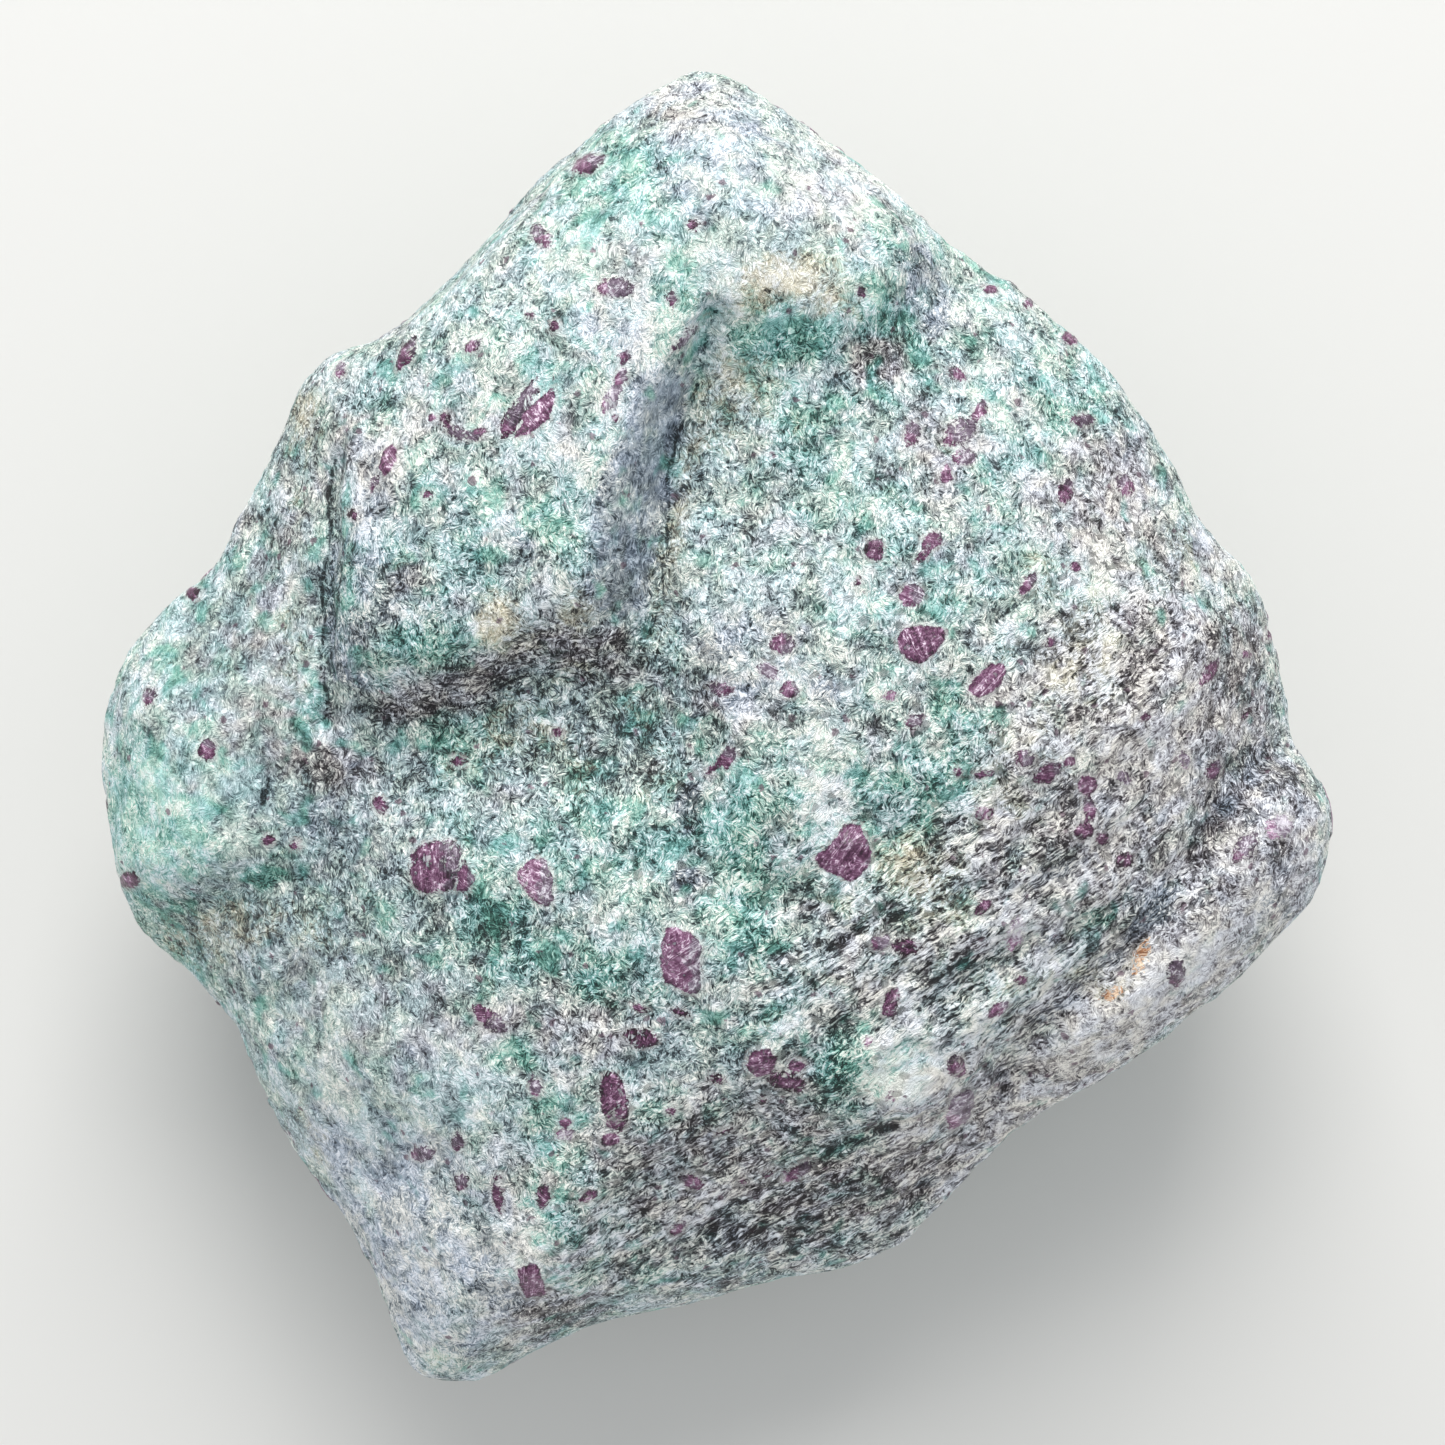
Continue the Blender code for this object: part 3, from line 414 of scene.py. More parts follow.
ZONES = (
    # The wall below the slab's lower edge: dark rock, darker still with painted shade.
    Zone(Tint.ASH, 3.6, 0.9, -0.22, (
        (-29.5, -0.2), (-25, 0.4), (-21, 1.4), (-18, 3.9), (-15.5, 4.8), (-12.5, 3.4), (-8.5, 3.2),
        (-7, 5.5), (-8.5, 8), (-12, 8.6), (-15, 9.2), (-17, 8), (-18.5, 6.4), (-22, 5.4), (-26, 3.6),
        (-29.5, 2.4),
    )),
    Zone(Tint.COARSE, 2.4, 0.3, 0, (
        (-29.5, -0.2), (-21, 1), (-12.5, 3), (-8, 3), (-8, 8.5), (-16, 9), (-26, 4.5),
    )),
    # The smooth blue-grey side of the slab towards the gully.
    Zone(Tint.SLATE, 1.6, 1, -0.05, (
        (-6.5, 28.5), (-2.6, 29.5), (-3.5, 26), (-4.7, 21.5), (-5, 17.2), (-5.6, 13), (-6.4, 9.8),
        (-8.5, 8.8), (-10.4, 9.6), (-11.9, 12.5), (-11.2, 17), (-9.6, 21.4), (-7.8, 26),
    )),
    Zone(Tint.COARSE, 1.6, -0.9, 0, (
        (-6.5, 28.5), (-2.6, 29.5), (-4.7, 21.5), (-6.4, 9.8), (-10.4, 9.6), (-11.2, 17),
    )),
    # Dark walls beside the left crease, which are dark rock with painted shade, and on the far ridge, and
    # dark spots near the middle.
    Zone(Tint.SLATE, 1.2, 0.9, -0.12, (
        (-33.4, 15.5), (-31.2, 15.8), (-30.4, 9), (-30.8, 3.4), (-33.2, 3.4),
    )),
    Zone(Tint.SLATE, 1.4, 0.9, -0.03, ((14.5, 40), (17.4, 41), (19.6, 36), (19, 33), (15, 33), (14.4, 36))),
    Zone(Tint.SLATE, 0.8, 1, -0.26, (
        (-3.9, -4.9), (-2.2, -5.2), (-1.6, -7.4), (-2.2, -9.4), (-3.4, -9.6), (-4.1, -7.5),
    )),
    Zone(Tint.SLATE, 0.8, 1, -0.22, ((-4.3, -12.6), (-2.2, -12.2), (-1.6, -13.6), (-4, -14))),
    # Deep green in the dip below the far ridge and at the foot of its wall, darkened as painted shade.
    Zone(Tint.GREEN, 1.6, 0.9, -0.2, (
        (0.5, 33.6), (4, 34.2), (9.7, 33.6), (9.4, 31), (4, 30.6), (0.6, 31),
    )),
    Zone(Tint.GREEN, 1, 0.6, -0.28, ((1.6, 36.4), (3.8, 37.2), (6, 36), (5.4, 34.9), (2.2, 34.7))),
    # A dark green spot with a white tuft beside it, and smaller green spots to their left.
    Zone(Tint.GREEN, 0.6, 1, -0.3, ((8.7, -28.2), (10.8, -28.1), (11, -29.8), (10, -30.6), (8.6, -30.4))),
    Zone(Tint.GREEN, 3.2, 0.5, 0.5, (
        (12, -27.4), (14, -26), (17, -26.4), (18.8, -28), (18.6, -30.5), (16.8, -32.2), (14, -32.6),
        (12.2, -31),
    )),
    Zone(Tint.GREEN, 0.7, 1, -0.24, (
        (-17.7, -27.4), (-16.9, -27.2), (-16, -29.4), (-16.6, -29.8), (-17.6, -28.8),
    )),
    Zone(Tint.GREEN, 0.7, 0.8, -0.16, ((-19.8, -28.2), (-18.8, -28.1), (-18.4, -29.6), (-19.4, -29.8))),
    Zone(Tint.GREEN, 1, 1, -0.24, (
        (-40.4, -12.2), (-38.2, -12), (-36.6, -13.4), (-38.8, -14), (-40.6, -13.4),
    )),
    # The pale, finer rim at the right, and the groove that sets it off.
    Zone(Tint.ASH, 2, 0.5, 0.04, (
        (46.6, -2.8), (42.9, -6.2), (41, -11), (37.4, -16.6), (33.4, -20.6), (29.2, -25.2), (24.8, -30.6),
        (27, -33.5), (34, -29), (42, -23), (49, -16), (51, -9),
    )),
    Zone(Tint.COARSE, 3, -0.25, 0, (
        (46.6, -2.8), (42.9, -6.2), (41, -11), (37.4, -16.6), (29.2, -25.2), (24.8, -30.6), (27, -33.5),
        (42, -23), (51, -9),
    )),
    Zone(Tint.SLATE, 3, 0.3, -0.07, (
        (44, -3.4), (41, -7), (38.6, -11.5), (35.6, -16), (31.6, -19.6), (27.6, -24), (23, -29.6),
        (24.6, -30.8), (29, -25.4), (33.2, -20.8), (37.2, -16.8), (40.8, -11), (42.8, -6.4), (46.2, -3.2),
    )),
    # Painted shade over dark grey rock in the pocket at the gully's head.
    Zone(Tint.ASH, 1.6, 0.8, -0.16, ((10.5, 32.6), (14.4, 33), (16, 31), (14.6, 28.9), (11.4, 28.7))),
)

STROKES = (
    # The foot of the slab, the left crease, the slab's edge along the gully, and the groove of the rim.
    # The first three are inked with a dark line of painted shade.
    Stroke(2.2, 0.4, 0.25, (
        (-28.7, 0.2), (-24, 0.9), (-20.6, 1.6), (-17.6, 3.8), (-14.8, 4.2), (-11.6, 3.2),
    )),
    Stroke(1.6, 0.8, 0.4, (
        (-32.9, 22.5), (-33.6, 19), (-33.3, 15.5), (-34.1, 11.5), (-33.8, 8.5), (-34.2, 5), (-33.5, 2),
        (-33.9, 0),
    )),
    Stroke(1.8, 0.7, 0.4, (
        (-6.2, 7.6), (-5.2, 10), (-4.9, 14), (-4.6, 17.5), (-4.8, 20.3), (-3.9, 24), (-2.2, 28.4),
        (-1.3, 33.1), (-0.6, 35),
    )),
    Stroke(3.6, 1.1, 0, (
        (46.6, -2.6), (43.2, -6), (41.4, -11), (37.8, -16.6), (33.4, -20.4), (29.2, -25), (24.6, -30.4),
    )),
    # Short cracks.
    Stroke(1.2, 0.5, 0.7, ((9, -36.4), (10.4, -35.6), (11.9, -35.7), (13.2, -34.6), (14.8, -34.2))),
    Stroke(1.2, 0.5, 0.6, ((9, -19.4), (10.6, -18.4), (12.3, -17))),
    Stroke(1, 0.4, 0.45, ((23.2, 8.4), (24.2, 9.4), (25.9, 10.8))),
    Stroke(1, 0.4, 0.6, ((-39, -3.6), (-38.7, -5.4), (-39.2, -6.8))),
)

EASINGS = (Easing(7, 60, ((-30, 2), (-24, 3), (-19, 4.6), (-14, 6.4), (-9, 7.4))),)


@dataclass(frozen=True)
class Eye:
    """The point straight above the stone that its upper side is described from.

    Places are measured where its sight lines cross the level plane, so nearer things look larger.
    """

    height: float = 330.0 * MM
    level: float = 30.0 * MM
    over_x: float = 0.796 * MM
    over_y: float = 1.868 * MM
    field: float = 122.83 * MM
    sensor: float = 36.0
    nearest: float = 10.0 * MM

    def seen(self, points: np.ndarray) -> np.ndarray:
        """Where points of the stone, given in metres, are seen: one row of x and y in millimetres each."""
        spread = (self.height - self.level) / (self.height - points[:, 2])
        return (points[:, :2] - np.array([self.over_x, self.over_y])) * spread[:, None] / MM

    def facing(self, points: np.ndarray, normals: np.ndarray) -> np.ndarray:
        """How squarely points with these normals face the eye, from 1 to -1 for one that faces away."""
        sight = np.array([self.over_x, self.over_y, self.height]) - points
        return (sight * normals).sum(axis=1) / np.linalg.norm(sight, axis=1)

    def camera(self) -> bpy.types.Object:
        """Puts the camera at the eye, with the field of view that it sees the stone in.

        Returns:
            The camera.
        """
        data = bpy.data.cameras.new("eye")
        data.sensor_width = self.sensor
        data.lens = self.sensor * (self.height - self.level) / self.field
        data.clip_start = self.nearest
        camera = bpy.data.objects.new("eye", data)
        camera.location = (self.over_x, self.over_y, self.height)
        bpy.context.scene.collection.objects.link(camera)
        bpy.context.scene.camera = camera
        return camera


class Wire:
    """A shader socket's value, so that sums on values read as sums."""

    def __init__(self, paint: "Paint", socket: bpy.types.NodeSocket) -> None:
        """Wraps an output socket of the paint's node tree."""
        self.paint = paint
        self.socket = socket

    def _sum(self, operation: str, first: "Wire | float", second: "Wire | float") -> "Wire":
        """Adds a Math node of that operation on the two values."""
        return self.paint.node("ShaderNodeMath", {"operation": operation}, {0: first, 1: second})

    def __add__(self, other: "Wire | float") -> "Wire":
        """Sum of the two."""
        return self._sum("ADD", self, other)

    __radd__ = __add__

    def __mul__(self, other: "Wire | float") -> "Wire":
        """Product of the two."""
        return self._sum("MULTIPLY", self, other)

    __rmul__ = __mul__

    def __sub__(self, other: "Wire | float") -> "Wire":
        """What is left after taking the other away."""
        return self._sum("SUBTRACT", self, other)

    def __rsub__(self, other: "Wire | float") -> "Wire":
        """What is left of the other after taking this away."""
        return self._sum("SUBTRACT", other, self)

    def size(self) -> "Wire":
        """The value without its sign."""
        return self._sum("ABSOLUTE", self, 0.0)

    def step(self, low: float, high: float) -> "Wire":
        """Rises smoothly from 0 to 1.

        Args:
            low: The value up to which the result is 0.
            high: The value from which the result is 1.

        Returns:
            The eased value.
        """
        settings = {"interpolation_type": "SMOOTHSTEP"}
        values = {"Value": self, "From Min": low, "From Max": high}
        return self.paint.node("ShaderNodeMapRange", settings, values)

    def line(self, width: float) -> "Wire":
        """1 where the value is zero, falling to 0 where it is as large as the width."""
        return 1.0 - self.size().step(0.0, width)


class Paint:
    """A material's node tree, with one method that adds any node."""

    def __init__(self, name: str) -> None:
        """Starts a material that holds only its shader and output.

        Args:
            name: The material's name.
        """
        self.material = bpy.data.materials.new(name)
        self.material.use_nodes = True
        self.tree = self.material.node_tree
        self.shader = self.tree.nodes["Principled BSDF"]

    def node(self, kind: str, settings: dict[str, Any], values: dict[Any, Any], out: Any = 0) -> Wire:
        """Adds a node.

        Args:
            kind: The node's type.
            settings: Its settings, which are set first; "stops" are a ramp's places and colours.
            values: What its sockets get, by name or number: a number, a tuple or a Wire.
            out: The output to return, by name or number.

        Returns:
            The chosen output.
        """
        node = self.tree.nodes.new(kind)
        for name, setting in settings.items():
            if name == "stops":
                self._stops(node, setting)
            else:
                setattr(node, name, setting)
        for name, value in values.items():
            self.feed(node, name, value)
        return Wire(self, node.outputs[out])

    def feed(self, node: bpy.types.Node, name: Any, value: Any) -> None:
        """Gives a node's socket a value or a link.

        Args:
            node: The node.
            name: The socket's name or number.
            value: A number, a tuple or a Wire.
        """
        socket = node.inputs[name]
        if isinstance(value, Wire):
            self.tree.links.new(value.socket, socket)
        else:
            socket.default_value = value

    @staticmethod
    def _stops(node: bpy.types.Node, stops: list[tuple[float, str]]) -> None:
        """Sets a colour ramp's stops.

        Args:
            node: The ramp.
            stops: Places from 0 to 1, each with its hex colour.
        """
        elements = node.color_ramp.elements
        while len(elements) < len(stops):
            elements.new(0.5)
        for element, (place, colour) in zip(elements, stops):
            element.position = place
            element.color = rgb(colour)

    def ramp(self, value: Wire, *colours: str, places: tuple[float, ...] = ()) -> Wire:
        """The colour of each value from 0 to 1, from hex colours at those places or evenly spaced."""
        places = places or tuple(index / (len(colours) - 1) for index in range(len(colours)))
        return self.node("ShaderNodeValToRGB", {"stops": list(zip(places, colours))}, {"Fac": value})

    def blend(self, amount: Wire | float, under: Any, over: Any) -> Wire:
        """Lays one colour or vector over another, which shows through less as the amount nears 1."""
        return self.node("ShaderNodeMix", {"data_type": "RGBA"}, {0: amount, 6: under, 7: over}, 2)

    def noise(
        self, where: Wire, scale: float, detail: float, rough: float, swirl: float = 0.0, out: int = 0
    ) -> Wire:
        """Noise round a half, with scale clouds to the mm and detail finer layers; out 1 is a colour."""
        values = {"Vector": where, "Scale": scale, "Detail": detail, "Roughness": rough, "Distortion": swirl}
        return self.node("ShaderNodeTexNoise", {}, values, out)

    def clouds(self, where: Wire, scale: float, detail: float, rough: float, swirl: float = 0.0) -> Wire:
        """Cloudy noise round zero, from what noise takes."""
        return self.noise(where, scale, detail, rough, swirl) - 0.5

    def cells(self, where: Wire, scale: float) -> tuple[Wire, Wire]:
        """Cells, so many to the millimetre: how far off their middles are, and their random colours."""
        distance = self.node("ShaderNodeTexVoronoi", {}, {"Vector": where, "Scale": scale}, "Distance")
        return distance, Wire(self, distance.socket.node.outputs["Color"])

    def vector(self, operation: str, first: Any, second: Any) -> Wire:
        """A sum on two vectors."""
        return self.node("ShaderNodeVectorMath", {"operation": operation}, {0: first, 1: second})

    def scaled(self, vector: Wire, *factors: float) -> Wire:
        """A vector times three factors, or times one."""
        return self.vector("MULTIPLY", vector, factors if len(factors) == 3 else factors * 3)

    def moved(self, vector: Wire, *shift: float) -> Wire:
        """A place moved, so that the noise there is another."""
        return self.vector("ADD", vector, shift)

    def turned(self, kind: str, vector: Wire, socket: str, turn: Any) -> Wire:
        """A vector turned by a kind of rotation, which reads its turn from that socket."""
        return self.node("ShaderNodeVectorRotate", {"rotation_type": kind}, {"Vector": vector, socket: turn})

    def split(self, vector: Wire) -> tuple[Wire, Wire, Wire]:
        """The three parts of a vector or colour."""
        parts = self.node("ShaderNodeSeparateXYZ", {}, {0: vector}).socket.node
        return tuple(Wire(self, output) for output in parts.outputs)

    def attribute(self, name: str) -> tuple[Wire, Wire, Wire]:
        """The three channels of a vertex attribute."""
        return self.split(self.node("ShaderNodeAttribute", {"attribute_name": name}, {}, "Vector"))


def rgb(colour: str) -> tuple[float, float, float, float]:
    """A hex colour as linear values with full alpha.

    Args:
        colour: Red, green and blue as six hex digits.

    Returns:
        Red, green, blue and alpha, from 0 to 1.
    """
    parts = [int(colour[i : i + 2], 16) / 255 for i in (0, 2, 4)]
    linear = [part / 12.92 if part <= 0.04045 else ((part + 0.055) / 1.055) ** 2.4 for part in parts]
    return (*linear, 1.0)


@dataclass(frozen=True)
class RockFinish:
    """Felted mica rock: mint and white flakes over grey, teal, slate and straw patches, with ruby grains.

    Each kind of rock or grain has its colours from dark to light. The dip is the angle of the coarse rock's
    beds in degrees, and the bump's depth is in millimetres.
    """

    roughness: float = 0.5
    polish: float = 0.18
    shine: float = 0.35
    bump: float = 0.8
    bump_depth: float = 0.2
    dip: float = 35.0
    halo_strength: float = 0.6
    mint: tuple[str, ...] = ("20292b", "55646a", "98abac", "cbdedd", "f8fdfd")
    sea: tuple[str, ...] = ("10302d", "33645d", "72aaa2", "b2dcd5", "f0fcfa")
    steel: tuple[str, ...] = ("1b2026", "48535f", "8893a0", "c1cad4", "f5f7fb")
    grey: tuple[str, ...] = ("251f24", "5d585d", "a29fa4", "dad8db", "fdfcfd")
    cream: tuple[str, ...] = ("272522", "66635a", "b1ac9b", "e2ddcb", "fdfbf3")
    speck: tuple[str, ...] = ("2a1a24", "543a4b", "6f5266")
    wine: tuple[str, ...] = ("261420", "522c48", "7a516e", "a986a1", "ead7e6")
    # Grey-mauve of pale grains and of painted reflections on the rubies.
    dull: tuple[str, ...] = ("1f1a20", "4b414e", "7a717f", "d8d6dd")
    rust: tuple[str, ...] = ("3c2318", "ab7550", "ecd3b8")
    cool: str = "f5f8fd"
    warm: str = "fdfaf1"
    halo: str = "f2f0ee"

    def material(self) -> bpy.types.Material:
        """Builds the material.

        Returns:
            The finished rock material.
        """
        paint = RockPaint(self)
        light = paint.lightness()
        cover, halo = paint.grain_cover()
        rock = paint.blend(halo * self.halo_strength, paint.rock_colour(light), rgb(self.halo))
        paint.feed(paint.shader, "Base Color", paint.blend(cover, rock, paint.grain_colour(light)))
        paint.feed(paint.shader, "Roughness", self.roughness - cover * self.polish)
        relief = {"Strength": self.bump, "Distance": self.bump_depth * MM, "Height": paint.relief(cover)}
        paint.feed(paint.shader, "Normal", paint.node("ShaderNodeBump", {}, relief))
        paint.feed(paint.shader, "Specular IOR Level", self.shine)
        return paint.material


class RockPaint(Paint):
    """The rock's node tree: first its textures, then the lightness, colours and relief that they add up to.

    Scales are in clouds or cells to the millimetre. Weights in a sum say how much each texture shows.
    """

    def __init__(self, finish: RockFinish) -> None:
        """Reads the marks that the stone carries and lays the textures that several looks share.

        Args:
            finish: The colours, and the dip of the beds.
        """
        super().__init__("felted_mica_rock")
        self.finish = finish
        self.mm = self.scaled(self.node("ShaderNodeTexCoord", {}, {}, "Object"), 1 / MM)
        self.green, self.slate, self.straw = self.attribute("tints")
        self.tone, self.ash, self.coarse = self.attribute("tones")
        self.hollow, self.dent, self.ink_distance = self.attribute("form")
        self.edge, self.hue, self.pallor_and_sheen = self.attribute("ruby")
        self.along, self.across, self.part = self.attribute("lines")
        self.rough = self.coarse.step(0.0, 1.0)
        sway = self.vector("SUBTRACT", self.noise(self.mm, 0.7, 1.5, 0.6, out=1), (0.5, 0.5, 0.5))
        self.warped = self.vector("ADD", self.mm, self.scaled(sway, 0.8))
        self.lay_fibres()
        self.lay_crumbs()

    def lay_fibres(self) -> None:
        """Lays fibres, which run another way in each small cell, or with the beds of coarse rock."""
        nearly_round = 6.28
        chance = self.cells(self.warped, 1.5)[1]
        turned = self.turned("EULER_XYZ", self.warped, "Rotation", self.scaled(chance, nearly_round))
        beds = self.turned("Z_AXIS", self.warped, "Angle", math.radians(-self.finish.dip))
        bedded = (self.coarse * 1.1 - self.split(chance)[0]).step(-0.02, 0.02)
        flake = self.blend(bedded, self.scaled(turned, 1.1, 1.1, 4.6), self.scaled(beds, 0.7, 3.0, 2.0))
        self.beds = self.clouds(self.scaled(beds, 0.28, 1.3, 0.9), 1.0, 2.5, 0.7, 0.3)
        self.shade = self.split(self.cells(flake, 1.7)[1])[0] - 0.5
        self.wool = self.clouds(flake, 0.85, 1.5, 0.75, 0.1)
        self.fuzz = self.clouds(self.moved(flake, 13.0, 7.0, 29.0), 1.0, 1.5, 0.75, 0.1)
        self.threads = self.wool.line(0.08)
        self.cuts = self.fuzz.line(0.06)

    def lay_crumbs(self) -> None:
        """Lays broad clouds, crumbs, their dark and white spots, and inked cracks with painted crease shade.
        """
        self.base = self.clouds(self.mm, 0.3, 2.0, 0.9)
        self.crumbs = self.clouds(self.warped, 1.5, 2.5, 0.95)
        self.haze = self.clouds(self.mm, 0.28, 2.0, 0.6, 0.5)
        soot = self.wool * -1.8 + self.crumbs * 2.6 - self.base * 2.2 + self.coarse * 0.16
        snow = self.fuzz * 1.8 + self.crumbs * -2.2 + self.base * 1.8 + self.coarse * 0.1
        plates = self.noise(self.moved(self.mm, 3.0, 29.0, 53.0), 0.36, 1.5, 0.6, 0.3)
        plates = plates + self.green * 0.05 - self.ash * 0.05 - self.slate * 0.05 - self.coarse * 0.02
        self.soot = soot.step(0.2, 0.6)
        self.snow = snow.step(0.2, 0.6)
        self.plates = (plates + self.crumbs * 0.1).step(0.53, 0.73)
        # The inked lines: dark cracks, and painted shade along the creases.
        self.cracks_and_crease_shade = 1.0 - (self.ink_distance + self.crumbs * 3.2 + self.base * 1.6).step(0.3, 1.2)

    def lightness(self) -> Wire:
        """How light the rock is: its flakes, then how strongly they show, then painted shade.

        The painted shade lies in broad hollows and small dents, and along the inked creases and cracks.

        Returns:
            The lightness, from 0 to 1.
        """
        plain_rock = 0.565
        # The dark cuts are grooves of the relief too, with painted shade in them.
        light = self.shade * 0.56 - self.crumbs * 0.93 + self.threads * 0.25 - self.cuts * 0.16
        light = light - self.soot * 0.22 + self.snow * 0.24
        light = light * (1.0 + self.coarse * 0.45 - self.rough * 0.2 - self.tone * 0.9)
        light = plain_rock + self.base * 1.05 + light * (1.0 - self.plates * 0.5) - self.plates * 0.04
        light = light + self.beds * (self.rough * 1.3 + 0.2)
        # Painted shade: darker in broad hollows and small dents, and along the inked creases and cracks.
        return light + self.tone - self.hollow * 0.03 - self.dent * 0.25 - self.cracks_and_crease_shade * 0.5

    def rock_colour(self, light: Wire) -> Wire:
        """The rock's colour: mint under ash, slate, green and straw, warmer and cooler, with dark specks.

        Args:
            light: How light the rock is.

        Returns:
            The colour.
        """
        mist = self.clouds(self.moved(self.mm, 37.0, 11.0, 5.0), 0.24, 2.0, 0.6, 0.5)
        ashes = (mist * 1.8 + self.haze * -1.2 + self.ash * 0.9 + 0.12).step(0.1, 1.0)
        slates = (mist * 2.2 + 0.12 + self.slate * 0.9 - self.green * 0.3).step(0.15, 1.0)
        greens = self.haze * 2.2 + 0.22 + self.green * 0.9 - self.ash * 0.5 - self.slate * 0.4
        straws = (self.straw * 0.8 + self.haze * 1.6 + self.crumbs * 1.3 - 0.2).step(0.05, 0.8)
        rock = self.blend(ashes, self.ramp(light, *self.finish.mint), self.ramp(light, *self.finish.grey))
        rock = self.blend(slates, rock, self.ramp(light, *self.finish.steel))
        greens = (greens + self.plates * 0.7).step(0.0, 1.0)
        rock = self.blend(greens, rock, self.ramp(light, *self.finish.sea))
        rock = self.blend(straws, rock, self.ramp(light, *self.finish.cream))
        warmth = self.noise(self.moved(self.mm, 5.0, 41.0, 17.0), 0.32, 2.0, 0.65, 0.4).step(0.36, 0.64)
        rock = self.vector("MULTIPLY", rock, self.blend(warmth, rgb(self.finish.cool), rgb(self.finish.warm)))
        near, pick = self.cells(self.warped, 0.9)
        chosen = (self.split(pick)[1] + ashes * 0.06).step(0.9, 0.94)
        specks = (1.0 - (near + self.crumbs * 0.9).step(0.16, 0.32)) * chosen
        return self.blend(specks * 0.8, rock, self.ramp(light, *self.finish.speck))

    def grain_cover(self) -> tuple[Wire, Wire]:
        """Where ruby grains cover the rock, with ragged edges, more so on grains of strong hue and on pale
        grains.

        Returns:
            How much grain shows, and how strong the pale halo round it is.
        """
        loose = (self.hue - 0.75).size() * 1.2 + self.pallor_and_sheen * 0.5
        jag = self.clouds(self.mm, 1.9, 2.0, 0.6) * 0.4 + self.crumbs * (loose * 1.6 + 0.2)
        self.inside = 0.0 - (self.edge + jag)
        cover = self.inside.step(-0.04, 0.12) * (1.0 - self.snow * loose * 0.7)
        return cover, self.inside.step(-0.5, -0.1) * (self.crumbs * 3.0 + 0.5).step(0.0, 1.0)

    def grain_colour(self, light: Wire) -> Wire:
        """The grains' colour: streaked magenta, grey-mauve with painted reflection and pallor, or rust.

        Args:
            light: How light the rock is, which the rust stains follow.

        Returns:
            The colour.
        """
        grooves = self.node(
            "ShaderNodeCombineXYZ", {}, {0: self.along * 0.3, 1: self.across * 2.6, 2: self.hue * 90.0}
        )
        streaks = self.clouds(grooves, 1.0, 2.0, 0.7, 0.3)
        grain_clouds = self.clouds(self.mm, 0.9, 2.0, 0.7)
        veins = self.clouds(self.warped, 0.9, 1.5, 0.6, 0.8).line(0.035)
        # The thin scores and bright tips below are painted highlights on the grains' cleavage lines and
        # crumbs.
        glow = self.hue * 0.36 + 0.13 + self.pallor_and_sheen * 0.2 + streaks * 0.6 + (streaks - 0.08).line(0.02) * 0.45
        glow = glow + self.crumbs * 1.6 + grain_clouds * 0.8
        glow = glow + (self.crumbs + self.fuzz * 0.8).step(0.06, 0.24) * 0.4 + veins * 0.24 - self.soot * 0.2
        # Darker just inside a grain's edge: painted shadow along its outline.
        glow = glow + (self.inside.step(0.0, 0.5) - 1.0) * 0.16
        dull = self.ramp(glow, *self.finish.dull, places=(0.0, 0.3, 0.6, 1.0))
        # Grey-mauve share: painted reflection across part of a grain, and the greyness of pale grains.
        sheen_and_pallor_mask = (grain_clouds * 1.6 + self.part * 2.2 + self.pallor_and_sheen * 2.0 - 1.0).step(0.1, 0.5) * 0.8
        wine = self.blend(sheen_and_pallor_mask, self.ramp(glow, *self.finish.wine), dull)
        return self.blend((self.hue * -1.0).step(0.3, 0.7), wine, self.ramp(light, *self.finish.rust))

    def relief(self, cover: Wire) -> Wire:
        """The height of the finest relief, which is lower on the grains.

        Args:
            cover: Where grains cover the rock.

        Returns:
            The height, in units of the bump's depth.
        """
        height = self.shade * 0.3 - self.crumbs * 0.9 + self.threads * 0.35 - self.cuts * 0.4
        height = (height - self.soot * 0.3) * (1.0 - cover * 0.7) * (1.0 + self.coarse * 0.4)
        return height + self.beds * self.rough * 1.2 - self.cracks_and_crease_shade * 0.6


